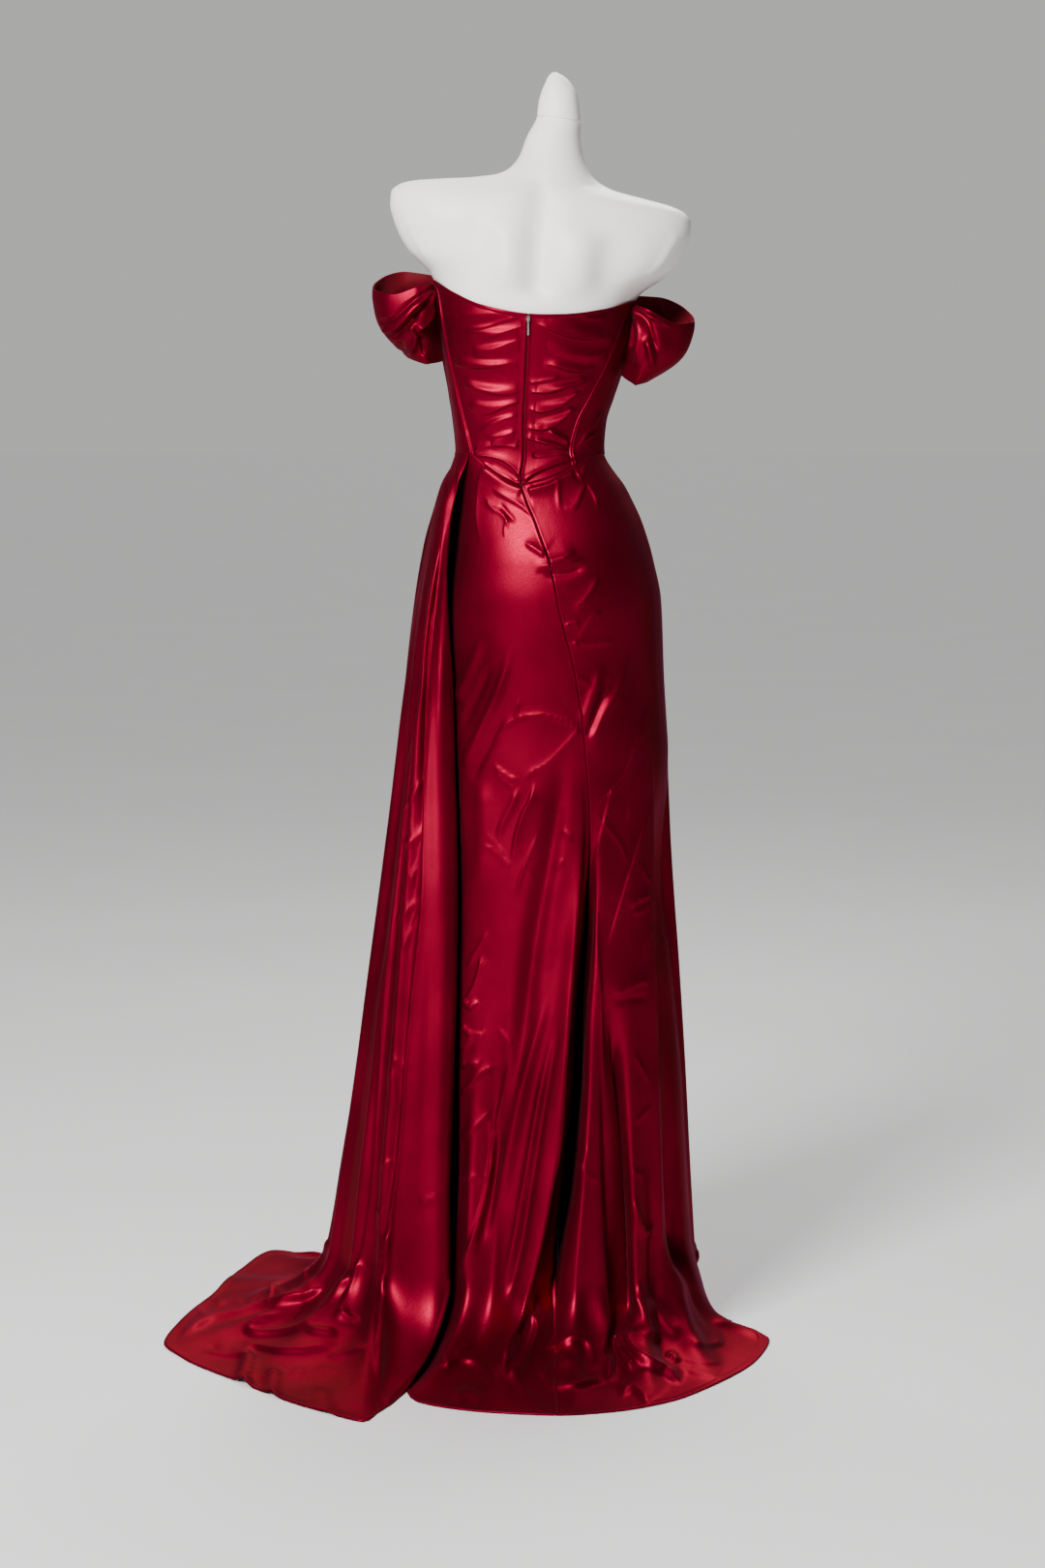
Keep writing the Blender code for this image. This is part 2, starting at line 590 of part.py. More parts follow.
def fold_line(fold):
    """The angle of a fold at each height."""
    def angle(height):
        height = min(max(height, 0.0), fold.start)
        return fold.angle_top + (fold.angle_foot - fold.angle_top) * (1 - height / fold.start)
    return angle


def inset(line, side, gap=SEAM / 2):
    """A seam line moved aside by half the seam gap."""
    def moved(height):
        spread = gap * (1 + FLOOR_SEAM_SPREAD * smooth((FLARE_START - height) / 0.3))
        return line(height) + side * math.degrees(spread / SKIRT_CURVE.at(height)[2])
    return moved


def skirt_zip_edge(side):
    """The skirt's back seam, which parts into the zip's slot higher up."""
    def moved(height):
        open_share = smooth((height - ZIP_END + 0.075) / 0.040)
        gap = SEAM / 2 + (ZIP_SLOT / 2 - SEAM / 2) * open_share
        return SKIRT_SEAM_CURVE.one(height) + side * math.degrees(gap / SKIRT_CURVE.at(height)[2])
    return moved


def skirt_heights(angle, v, hem_share=0.34):
    """Height of share v of a skirt panel, from the hem up to the waist seam."""
    if v < hem_share:
        t = 1 - v / hem_share
        return FLARE_START - (FLARE_START + 1.0) * t ** 0.9
    t = 1 - (v - hem_share) / (1 - hem_share)
    top = waist_height(angle) - SEAM
    return top - (top - FLARE_START) * t ** ROW_SPREAD


def skirt_place(lines, counts, hem_share=0.34):
    """Places of a skirt panel whose columns follow its fold lines."""
    def place(u, v):
        height = 0.5
        for _ in range(4):
            angle = spaced(lines, counts, u, max(height, 0.0))
            height = skirt_heights(angle, v, hem_share)
        return angle, height
    return place


def build_bodice(satin, collection):
    """The seven panels of the corset bodice."""
    zip_gap = ZIP_SLOT / 2
    centre_left = inset(BACK_SEAM_CURVE.one, 1, zip_gap)
    centre_right = inset(BACK_SEAM_CURVE.one, -1, zip_gap)
    panels = (
        ("bodice_back_left", centre_left, inset(SEAM_LEFT_CURVE.one, -1), 7, 24),
        ("bodice_back_right", inset(SEAM_RIGHT_CURVE.one, 1), centre_right, 7, 24),
        ("bodice_side_back_left", inset(SEAM_LEFT_CURVE.one, 1), inset(constant(SIDE_LEFT), -1), 5, 12),
        ("bodice_side_back_right", inset(constant(SIDE_RIGHT), 1), inset(SEAM_RIGHT_CURVE.one, -1), 9, 12),
        ("bodice_side_front_left", inset(constant(SIDE_LEFT), 1), inset(constant(FRONT_LEFT), -1), 6, 12),
        ("bodice_side_front_right", inset(constant(FRONT_RIGHT), 1), inset(constant(SIDE_RIGHT), -1), 6, 12),
        ("bodice_centre_front", inset(constant(FRONT_LEFT), 1), inset(constant(360 + FRONT_RIGHT), -1), 6, 12),
    )
    for name, left, right, columns, rows in panels:
        def surface(angle, height):
            return bodice_point((angle + 180) % 360 - 180, height)

        def place(u, v, left=left, right=right, columns=columns):
            height = 1.30
            for _ in range(3):
                angle = spaced((left, right), (columns,), u, height)
                turned = (angle + 180) % 360 - 180
                low = waist_height(turned)
                height = low + (TOP_CURVE.one(turned) - low) * v
            return angle, height
        cloth_wall(name, columns, rows, place, surface, satin, collection)


def build_skirt(satin, collection):
    """Skirt backs, skirt front and the side drape with its train."""
    seam = SKIRT_SEAM_CURVE.one
    folds = SKIRT_FOLDS
    right_lines = (inset(constant(SIDE_RIGHT), 1), fold_line(folds[5]), fold_line(folds[4]),
                   fold_line(folds[2]), skirt_zip_edge(-1))
    left_lines = (skirt_zip_edge(1), lambda h: seam(h) + 13.0, fold_line(folds[8]),
                  TUCK_EDGE_CURVE.one, lambda h: TUCK_EDGE_CURVE.one(h) + 9.0,
                  inset(constant(SIDE_LEFT), -1))
    cloth_wall("skirt_back_right", 18, SKIRT_ROWS, skirt_place(right_lines, (4, 4, 5, 5)),
               skirt_point, satin, collection)
    cloth_wall("skirt_back_left", 17, SKIRT_ROWS, skirt_place(left_lines, (5, 3, 3, 3, 3)),
               skirt_point, satin, collection)
    front_lines = (inset(constant(SIDE_LEFT), 1), inset(constant(360 + SIDE_RIGHT), -1))

    def front_surface(angle, height):
        return skirt_point((angle + 180) % 360 - 180, height)

    def front_place(u, v):
        angle = spaced(front_lines, (FRONT_COLUMNS,), u, 0.5)
        return angle, skirt_heights((angle + 180) % 360 - 180, v)
    cloth_wall("skirt_front", FRONT_COLUMNS, SKIRT_ROWS, front_place, front_surface, satin, collection)

    drape_lines = (DRAPE_EDGE_CURVE.one, lambda h: DRAPE_EDGE_CURVE.one(h) + 5.0,
                   fold_line(DRAPE_FOLDS[0]), fold_line(DRAPE_FOLDS[1]),
                   fold_line(DRAPE_FOLDS[2]), fold_line(DRAPE_FOLDS[3]), constant(DRAPE_FRONT))
    cloth_wall("side_drape", 23, SKIRT_ROWS, skirt_place(drape_lines, (3, 4, 4, 4, 4, 4)),
               drape_point, satin, collection)


def build_sleeves(satin, collection):
    """The two off-shoulder puffs."""
    for name, side in (("sleeve_left", 1), ("sleeve_right", -1)):
        def surface(u, v, side=side):
            return sleeve_point(side, u, v)

        bm = bmesh.new()
        bmesh.ops.create_grid(bm, x_segments=18, y_segments=10, size=0.5)
        grown = bmesh.ops.extrude_face_region(bm, geom=bm.faces[:])
        inner = {item for item in grown["geom"] if isinstance(item, bmesh.types.BMVert)}
        step = 0.01
        for vert in bm.verts:
            u, v = vert.co.x + 0.5, vert.co.y + 0.5
            point = surface(u, v)
            if vert in inner:
                low_u, high_u = max(u - step, 0.0), min(u + step, 1.0)
                low_v, high_v = max(v - step, 0.0), min(v + step, 1.0)
                along = surface(high_u, v) - surface(low_u, v)
                down = surface(u, high_v) - surface(u, low_v)
                point = point + side * along.cross(down).normalized() * -CLOTH
            vert.co = point
        finish_object(name, bm, satin, collection)


def box_bmesh(low, high):
    """A box between two corners."""
    bm = bmesh.new()
    bmesh.ops.create_cube(bm, size=1.0)
    size = [b - a for a, b in zip(low, high)]
    centre = [(a + b) / 2 for a, b in zip(low, high)]
    bmesh.ops.scale(bm, vec=size, verts=bm.verts[:])
    bmesh.ops.translate(bm, vec=centre, verts=bm.verts[:])
    return bm


def join_solids(name, target, tools, cutters):
    """Unite a solid with others, which stay behind as hidden guides."""
    for number, tool in enumerate(tools):
        for collection in list(tool.users_collection):
            collection.objects.unlink(tool)
        cutters.objects.link(tool)
        tool.hide_render = True
        tool.display_type = "WIRE"
        union = target.modifiers.new(f"{name}_{number}", "BOOLEAN")
        union.operation = "UNION"
        union.object = tool
    return target


def build_zip(satin, steel, collection, cutters):
    """Zip coil in its slot, slider at the top and the hinged pull tab."""
    half = ZIP_COIL_WIDTH / 2

    def place(u, v):
        top = TOP_CURVE.one(zip_line(1.39)) - 0.001
        height = ZIP_END + (top - ZIP_END) * v
        line = zip_line(height)
        return line + math.degrees((2 * u - 1) * half / SKIRT_CURVE.at(height)[2]), height
    cloth_wall("zip_coil", 1, 30, place, zip_point, satin, collection,
               thick=ZIP_COIL_THICK, sink=CLOTH - ZIP_COIL_THICK)

    pivot = zip_point(zip_line(PULL_PIVOT_HEIGHT), PULL_PIVOT_HEIGHT)
    skin = pivot.y + SEAM
    top = PULL_PIVOT_HEIGHT + 0.0045
    body = box_bmesh((pivot.x - SLIDER_WIDTH / 2, skin, top - SLIDER_HEIGHT),
                     (pivot.x + SLIDER_WIDTH / 2, skin + SLIDER_THICK, top))
    bmesh.ops.bevel(body, geom=body.edges[:], offset=0.0004, segments=1, profile=0.5,
                    affect="EDGES", material=-1)
    slider = finish_object("zip_slider", body, steel, collection)
    ears = []
    for side in (-1, 1):
        near = pivot.x + side * EAR_GAP / 2
        far = near + side * EAR_WIDTH
        ear = box_bmesh((min(near, far), skin + SLIDER_THICK / 2, PULL_PIVOT_HEIGHT - 0.0015),
                        (max(near, far), skin + PULL_PIVOT_OUT + 0.0010, PULL_PIVOT_HEIGHT + 0.0015))
        ears.append(finish_object(f"slider_ear_{side + 1}", ear, steel, collection))
    join_solids("ear", slider, ears, cutters)

    hinge = Vector((pivot.x, skin + PULL_PIVOT_OUT, PULL_PIVOT_HEIGHT))
    knuckle = bmesh.new()
    bmesh.ops.create_cone(knuckle, cap_ends=True, segments=12, radius1=KNUCKLE_RADIUS,
                          radius2=KNUCKLE_RADIUS, depth=KNUCKLE_WIDTH)
    bmesh.ops.rotate(knuckle, matrix=Matrix.Rotation(math.pi / 2, 3, "Y"), verts=knuckle.verts[:])
    pull = finish_object("zip_pull", knuckle, steel, collection)
    tab = box_bmesh((-KNUCKLE_WIDTH / 2 + 0.0001, -PULL_THICK / 2, -PULL_LENGTH),
                    (KNUCKLE_WIDTH / 2 - 0.0001, PULL_THICK / 2, 0.0))
    low = [vert for vert in tab.verts if vert.co.z < -PULL_LENGTH / 2]
    bmesh.ops.scale(tab, vec=(PULL_WIDTH / KNUCKLE_WIDTH, 1, 1), verts=low)
    lower_edges = [edge for edge in tab.edges if all(v.co.z < -PULL_LENGTH / 2 for v in edge.verts)]
    short = [edge for edge in lower_edges if abs(edge.verts[0].co.x - edge.verts[1].co.x) < 1e-6]
    bmesh.ops.bevel(tab, geom=short, offset=PULL_WIDTH * 0.42, segments=3, profile=0.5,
                    affect="EDGES", material=-1)
    plate = finish_object("pull_plate", tab, steel, collection)
    join_solids("plate", pull, [plate], cutters)
    for piece in (pull, plate):
        piece.location = hinge


def build_form(white, steel, collection):
    """Torso with neck, neck cap, pole and base plate."""
    ring = NECK_RING
    low = [FORM_BOTTOM, 0.86, 0.92, 0.97, 1.01, 1.04, 1.07, 1.10, 1.13, 1.155, 1.175]
    middle = [1.19, 1.205, 1.22, 1.24, 1.26, 1.28, 1.30, 1.325, 1.35, 1.38, 1.396,
              1.408, 1.417, 1.425, 1.434]
    high = [1.447, 1.464, 1.482, 1.502, 1.522, 1.536, 1.546, 1.553, 1.560, 1.566, 1.575,
            1.588, 1.605, 1.628, ring]

    def torso(angle, height):
        return section_point(FORM_CURVE, angle, height)
    tube_solid("form_torso", 28, low + middle + high, torso, white, collection)

    def cap(angle, height):
        point = section_point(FORM_CURVE, angle, height)
        point.z += SEAM
        return point
    cap_levels = [ring, 1.664, 1.676, 1.687, 1.696, 1.704, 1.710, 1.715]
    tube_solid("form_neck_cap", 24, cap_levels, cap, white, collection)

    bm = bmesh.new()
    pole_top = FORM_BOTTOM - SEAM
    pole_foot = BASE_THICK + SEAM
    bmesh.ops.create_cone(bm, cap_ends=True, segments=20, radius1=POLE_RADIUS,
                          radius2=POLE_RADIUS, depth=pole_top - pole_foot)
    bmesh.ops.translate(bm, vec=(0, 0, (pole_top + pole_foot) / 2), verts=bm.verts[:])
    finish_object("form_pole", bm, steel, collection)
    bm = bmesh.new()
    bmesh.ops.create_cone(bm, cap_ends=True, segments=40, radius1=BASE_RADIUS,
                          radius2=BASE_RADIUS - 0.003, depth=BASE_THICK)
    bmesh.ops.translate(bm, vec=(0, 0, BASE_THICK / 2), verts=bm.verts[:])
    finish_object("form_base", bm, steel, collection)


def main():
    """Clear the scene and build every piece."""
    for obj in list(bpy.data.objects):
        bpy.data.objects.remove(obj, do_unlink=True)
    collection = bpy.data.collections.new("corset_evening_gown")
    bpy.context.scene.collection.children.link(collection)
    cutters = bpy.data.collections.new("guides")
    bpy.context.scene.collection.children.link(cutters)
    satin = make_material("satin", SATIN, 0.35, 0.2)
    white = make_material("form_white", WHITE, 0.45, 0.0)
    steel = make_material("steel", STEEL, 0.30, 1.0)
    build_bodice(satin, collection)
    build_skirt(satin, collection)
    build_sleeves(satin, collection)
    build_zip(satin, steel, collection, cutters)
    build_form(white, steel, collection)


main()
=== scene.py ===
"""Corset evening gown in red satin on a white dress form: the finished looks.

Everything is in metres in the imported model's frame: +Z up, the gown's back
towards +Y and the wearer's left side towards +X. Angles run round the body:
0 is the back, 90 the wearer's left side.
"""
from __future__ import annotations

import logging
import math
from dataclasses import dataclass, field
from enum import Enum
from typing import Callable, NamedTuple, Sequence

import bmesh
import bpy
import numpy as np
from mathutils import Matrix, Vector

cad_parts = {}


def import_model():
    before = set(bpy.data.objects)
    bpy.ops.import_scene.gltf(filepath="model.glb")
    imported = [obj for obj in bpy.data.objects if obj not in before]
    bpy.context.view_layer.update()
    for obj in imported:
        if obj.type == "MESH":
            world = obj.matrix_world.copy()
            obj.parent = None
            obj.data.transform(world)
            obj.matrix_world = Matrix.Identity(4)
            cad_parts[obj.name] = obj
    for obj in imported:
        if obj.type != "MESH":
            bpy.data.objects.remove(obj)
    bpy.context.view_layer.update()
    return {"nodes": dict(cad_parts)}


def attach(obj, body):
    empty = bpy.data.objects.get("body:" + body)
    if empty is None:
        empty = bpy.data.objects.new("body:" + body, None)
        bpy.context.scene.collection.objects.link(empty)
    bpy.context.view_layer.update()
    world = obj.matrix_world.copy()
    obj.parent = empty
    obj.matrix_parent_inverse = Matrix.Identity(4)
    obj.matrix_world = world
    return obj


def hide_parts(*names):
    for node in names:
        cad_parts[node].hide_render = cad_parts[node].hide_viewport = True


LOG = logging.getLogger("gown")
Array = np.ndarray
Line = Callable[[Array], Array]
Surface = Callable[[Array, Array], Array]
Tone = tuple[float, float, float]
Tint = tuple[float, float, float, float]

BODY = "gown_on_form"

SEAM = 0.0001
CLOTH = 0.0020
CLOTH_GAP = 0.0011
CLOTH_OUT = CLOTH + CLOTH_GAP
CLOTH_WALL = 0.0016
WAIST = 1.208
WAIST_V_ANGLE = 12.0
WAIST_V_DROP = 0.041
WAIST_V_BEND = 0.6
WAIST_V_LEFT = 46.0
WAIST_V_RIGHT = 74.0
WAIST_CALM = 0.016
FRONT_EASE = 0.0025
FRONT_START = 75.0
FRONT_BLEND = 30.0
SKIRT_EASE = 0.0050
SKIRT_EASE_DEPTH = 0.06
HIP_EASE = 0.0020
HIP_EASE_DEPTH = 0.042
FLOOR_SEAM_SPREAD = 12.0
FLOOR_SEAM_BLEND = 0.3
FLARE_START = 0.115
FOOT_LEVEL = 0.02
FOLD_BLEND = 0.35
TUCK_BLEND = 9.0
TUCK_FRONT = 165.0
TUCK_FRONT_BLEND = 40.0
CURL_REACH = 0.007
ZIP_JOIN = 1.166
ZIP_END = 1.064
ZIP_SLOT = 0.0009
SKIRT_SLOT = 0.0004
FORM_BOTTOM = 0.80
NECK_RING = 1.652
SIDE_LEFT = 95.0
SIDE_RIGHT = -92.0
FRONT_LEFT = 150.0
FRONT_RIGHT = -150.0
DRAPE_FRONT = 158.0
DRAG_WIDTH = 0.0075
SEAM_VALLEY_WIDTH = 0.011
RIPPLE_ANGLE = 5.0
RIPPLE_SCALE = 1.6
SEAM_ROLL_PLACE = 0.0021
SEAM_ROLL_WIDTH = 0.0012
GROOVE_DEPTH = 0.0006
GROOVE_WIDTH = 0.0010
SEEN_LIMIT = 104.0
SEEN_BLEND = 8.0
CREASE_REACH = 5.0
PINCH_FALL = 1.4
LIP_STEEP = 0.45
LIP_SLOPE = 1.8
TENTHS_A_METRE = 10_000


class Section(NamedTuple):
    """One level outline: centre, half sizes, roundness and sideways tilt."""

    height: float
    centre_x: float
    centre_y: float
    half_width: float
    front: float
    back: float
    roundness: float
    tilt: float


class Fold(NamedTuple):
    """A ridge (+) or valley (-) that runs down a skirt between two heights."""

    angle_top: float
    angle_foot: float
    start: float
    depth: float
    width: float


class DragFold(NamedTuple):
    """A short crease across a bodice panel, from the first point to the last."""

    angle_a: float
    height_a: float
    angle_b: float
    height_b: float
    sag: float
    lift: float


class FoldKind(Enum):
    """The cross section of a crease."""

    ROLL = "a rounded ridge or valley"
    PINCH = "a sharp pressed ridge"
    LIP = "steep on the right of its path, with a long slope on the left"


class Crease(NamedTuple):
    """A crease along a path: its lift and width, its kind, and the shares over which its ends fade."""

    path: tuple[tuple[float, float], ...]
    lift: float
    width: float
    kind: FoldKind = FoldKind.ROLL
    fade_in: float = 0.25
    fade_out: float = 0.25


ROLL, PINCH, LIP = FoldKind.ROLL, FoldKind.PINCH, FoldKind.LIP


def creases(rows: Sequence[tuple]) -> tuple[Crease, ...]:
    """Creases from a table.

    Args:
        rows: A row for each crease. Its path comes first, with its points' numbers in one run, then
            its lift and width in tenths of a millimetre, its kind and the fades of its ends. The
            last three may be left out.

    Returns:
        The creases.
    """
    return tuple(
        Crease(tuple(zip(path[::2], path[1::2])), lift / TENTHS_A_METRE, width / TENTHS_A_METRE, *rest)
        for path, lift, width, *rest in rows)


# Level outlines from the bottom up. Each row holds the fields of Section, in their order.
FORM = (
    (0.8, 0, 0.004, 0.118, 0.08, 0.092, 2.1, 0),
    (0.9, 0, 0.004, 0.13, 0.086, 0.108, 2.1, 0),
    (0.96, 0, 0.002, 0.137, 0.09, 0.117, 2.1, 0),
    (1.01, 0, 0, 0.139, 0.092, 0.12, 2.1, 0),
    (1.061, 0.001, 0, 0.13, 0.092, 0.114, 2.1, 0),
    (1.114, 0.006, 0, 0.1175, 0.088, 0.095, 2.1, 0),
    (1.166, 0.017, 0, 0.1045, 0.083, 0.077, 2.1, 0),
    (1.19, 0.025, 0, 0.0985, 0.081, 0.072, 2.1, 0.01),
    (1.212, 0.03, 0, 0.0952, 0.08, 0.07, 2.1, 0.02),
    (1.255, 0.031, 0, 0.0988, 0.084, 0.074, 2.1, 0.05),
    (1.29, 0.029, 0, 0.107, 0.094, 0.08, 2.1, 0.07),
    (1.325, 0.027, 0, 0.116, 0.108, 0.086, 2.1, 0.08),
    (1.38, 0.025, 0, 0.1265, 0.122, 0.092, 2.1, 0.1),
    (1.41, 0.024, 0, 0.129, 0.112, 0.094, 2.1, 0.1),
    (1.432, 0.023, 0, 0.14, 0.104, 0.095, 2.1, 0.1),
    (1.46, 0.02, 0, 0.172, 0.094, 0.094, 2.1, 0.1),
    (1.48, 0.018, 0, 0.187, 0.086, 0.092, 2.1, 0.1),
    (1.5, 0.017, 0.001, 0.196, 0.078, 0.088, 2.1, 0.1),
    (1.52, 0.016, 0.002, 0.2015, 0.069, 0.081, 2.1, 0.1),
    (1.536, 0.015, 0.004, 0.201, 0.06, 0.073, 2, 0.1),
    (1.546, 0.014, 0.005, 0.192, 0.054, 0.067, 1.9, 0.1),
    (1.553, 0.013, 0.006, 0.174, 0.05, 0.062, 1.7, 0.1),
    (1.56, 0.012, 0.006, 0.133, 0.047, 0.058, 1.5, 0.1),
    (1.566, 0.01, 0.005, 0.094, 0.046, 0.055, 1.5, 0.1),
    (1.576, 0.006, 0.003, 0.064, 0.045, 0.051, 1.8, 0.07),
    (1.59, 0.003, -0.001, 0.05, 0.044, 0.047, 2, 0.03),
    (1.605, 0.001, -0.004, 0.0425, 0.042, 0.043, 2, 0),
    (1.63, -0.002, -0.009, 0.036, 0.037, 0.037, 2, 0),
    (1.652, -0.009, -0.014, 0.0296, 0.031, 0.031, 2, 0.15),
    (1.67, -0.009, -0.017, 0.0278, 0.029, 0.029, 2, 0.1),
    (1.687, -0.0095, -0.02, 0.0245, 0.025, 0.026, 2, 0.06),
    (1.701, -0.008, -0.022, 0.0175, 0.018, 0.019, 2, 0.02),
    (1.71, -0.005, -0.023, 0.0105, 0.011, 0.012, 2, 0),
    (1.715, -0.003, -0.023, 0.0035, 0.004, 0.004, 2, 0),
)

SKIRT_LOWER = (
    (0, 0, 0.005, 0.208, 0.15, 0.215, 2.1, 0),
    (0.091, 0, 0.005, 0.201, 0.144, 0.2, 2.1, 0),
    (0.229, 0, 0.005, 0.1925, 0.136, 0.18, 2.1, 0),
    (0.365, 0, 0.004, 0.185, 0.128, 0.162, 2.1, 0),
    (0.501, 0, 0.003, 0.176, 0.12, 0.147, 2.1, 0),
    (0.596, 0, 0.002, 0.1687, 0.115, 0.138, 2.1, 0),
    (0.703, 0, 0.002, 0.1614, 0.11, 0.13, 2.1, 0),
    (0.797, 0, 0.001, 0.1556, 0.106, 0.125, 2.1, 0),
    (0.903, 0, 0, 0.1487, 0.102, 0.124, 2.1, 0),
    (1.009, 0, 0, 0.144, 0.099, 0.126, 2.1, 0),
    (1.061, 0.001, 0, 0.1345, 0.097, 0.119, 2.1, 0),
    (1.114, 0.006, 0, 0.1235, 0.094, 0.1015, 2.1, 0),
)

DRAPE = (
    (0, 0, 0.005, 0.33, 0.235, 0.222, 2, 0),
    (0.039, 0, 0.005, 0.32, 0.225, 0.218, 2, 0),
    (0.119, 0, 0.005, 0.3, 0.205, 0.211, 2, 0),
    (0.229, 0, 0.005, 0.282, 0.185, 0.203, 2, 0),
    (0.365, 0, 0.004, 0.2595, 0.168, 0.189, 2, 0),
    (0.501, 0, 0.003, 0.24, 0.155, 0.174, 2, 0),
    (0.596, 0, 0.002, 0.2262, 0.146, 0.163, 2, 0),
    (0.676, 0, 0.002, 0.215, 0.139, 0.154, 2, 0),
    (0.77, 0, 0.001, 0.2027, 0.131, 0.145, 2, 0),
    (0.877, 0, 0, 0.1917, 0.124, 0.139, 2, 0),
    (0.969, 0, 0, 0.1822, 0.118, 0.136, 2, 0),
    (1.048, 0.001, 0, 0.1704, 0.113, 0.128, 2, 0),
    (1.114, 0.006, 0, 0.152, 0.106, 0.112, 2, 0),
    (1.166, 0.017, 0, 0.129, 0.096, 0.093, 2, 0),
    (1.19, 0.025, 0, 0.1105, 0.089, 0.082, 2.1, 0.01),
    (1.212, 0.03, 0, 0.101, 0.0855, 0.0755, 2.1, 0.02),
)

TOP_EDGE = (
    (-180, 1.400), (-150, 1.432), (-110, 1.418), (-80, 1.424), (-43, 1.408), (-16, 1.396),
    (5, 1.392), (31, 1.398), (54, 1.411), (80, 1.425), (110, 1.418), (150, 1.432), (180, 1.400),
)
BACK_SEAM = ((1.100, 7.0), (1.166, 12.0), (1.212, 4.5), (1.300, 3.6), (1.440, 2.6))
SEAM_LEFT = ((1.100, 50.0), (1.207, 52.0), (1.224, 55.0), (1.257, 61.0), (1.320, 67.0),
             (1.375, 70.0), (1.440, 82.0))
SEAM_RIGHT = ((1.100, -31.0), (1.210, -33.0), (1.243, -37.0), (1.283, -45.0), (1.335, -55.0),
              (1.380, -62.0), (1.440, -82.0))
SKIRT_SEAM = ((0.000, 0.0), (0.091, -0.5), (0.229, -6.0), (0.365, -10.6), (0.501, -13.3),
              (0.600, -16.0), (0.703, -17.5), (0.836, -14.8), (0.916, -10.8), (1.009, -2.4),
              (1.064, 1.0), (1.114, 6.6), (1.166, 12.0), (1.230, 12.0))

TUCK_EDGE = ((0.000, 40.0), (0.229, 39.0), (0.501, 44.0), (0.636, 46.0), (0.770, 52.0),
             (0.903, 62.0), (1.009, 68.0), (1.114, 70.0), (1.230, 70.0))
TUCK_DEPTH = ((0.000, 0.030), (0.500, 0.032), (0.780, 0.026), (0.860, 0.012), (0.960, 0.003),
              (1.050, 0.000), (1.230, 0.000))
DRAPE_EDGE = ((0.000, 28.0), (0.091, 28.5), (0.229, 31.5), (0.365, 33.8), (0.501, 36.0),
              (0.636, 39.6), (0.770, 45.6), (0.903, 52.0), (0.982, 57.5), (1.061, 61.0),
              (1.105, 61.0), (1.150, 58.5), (1.190, 56.5), (1.230, 56.0))
DRAPE_CURL = ((0.000, 0.000), (0.120, 0.016), (0.500, 0.022), (0.900, 0.020), (1.050, 0.010),
              (1.150, 0.002), (1.230, 0.000))

SKIRT_FOLDS = (
    Fold(-17.0, 13.5, 0.70, 0.011, 0.020),
    Fold(-22.5, -5.5, 0.76, 0.007, 0.008),
    Fold(-19.5, -24.0, 0.56, -0.016, 0.010),
    Fold(-31.0, -33.0, 0.50, 0.009, 0.014),
    Fold(-44.0, -43.0, 0.42, -0.009, 0.013),
    Fold(-58.0, -55.0, 0.60, 0.008, 0.018),
    Fold(-72.0, -70.0, 0.45, -0.008, 0.016),
    Fold(22.0, 24.0, 0.55, -0.010, 0.014),
    Fold(33.0, 32.0, 0.50, 0.008, 0.012),
    Fold(150.0, 150.0, 0.75, 0.010, 0.025),
    Fold(-150.0, -150.0, 0.75, 0.010, 0.025),
    Fold(180.0, 180.0, 0.60, -0.008, 0.025),
)
SEAM_VALLEY = ((0.000, 0.030), (0.091, 0.034), (0.229, 0.030), (0.365, 0.025), (0.501, 0.018),
               (0.600, 0.012), (0.703, 0.004), (0.800, 0.000), (1.230, 0.000))
DRAPE_FOLDS = (
    Fold(69.0, 47.0, 1.20, 0.010, 0.012),
    Fold(80.0, 60.0, 1.16, 0.009, 0.014),
    Fold(96.0, 78.0, 1.10, 0.010, 0.016),
    Fold(112.0, 98.0, 1.10, 0.009, 0.018),
    Fold(130.0, 124.0, 1.05, 0.010, 0.020),
)

HEM = (
    (-180, 0.000, -0.172), (-150, -0.118, -0.158), (-120, -0.192, -0.100),
    (-100, -0.224, -0.012), (-88, -0.268, 0.045), (-78, -0.298, 0.091), (-68, -0.276, 0.182),
    (-55, -0.216, 0.291), (-38, -0.146, 0.373), (-18, -0.072, 0.413), (0, -0.005, 0.426),
    (16, 0.089, 0.413), (30, 0.178, 0.366), (38, 0.190, 0.330), (60, 0.198, 0.190),
    (95, 0.226, 0.010), (130, 0.180, -0.115), (150, 0.120, -0.150), (180, 0.000, -0.172),
)
TRAIN_HEM = (
    (28, 0.208, 0.380), (38, 0.224, 0.416), (47, 0.243, 0.452), (54, 0.338, 0.373),
    (60, 0.408, 0.291), (70, 0.495, 0.182), (80, 0.530, 0.100), (102, 0.478, -0.160),
    (124, 0.413, -0.378), (142, 0.310, -0.315), (160, 0.150, -0.262),
)

SLEEVE_TOP = (
    (0.00, 0.128, 0.020, 1.424), (0.25, 0.158, 0.052, 1.412), (0.40, 0.191, 0.044, 1.400),
    (0.50, 0.2155, 0.004, 1.406), (0.65, 0.204, -0.045, 1.415), (0.80, 0.171, -0.072, 1.426),
    (1.00, 0.115, -0.070, 1.428),
)
SLEEVE_BOTTOM = (
    (0.00, 0.126, 0.024, 1.324), (0.25, 0.147, 0.042, 1.312), (0.50, 0.180, 0.008, 1.320),
    (0.75, 0.160, -0.046, 1.329), (1.00, 0.118, -0.064, 1.335),
)

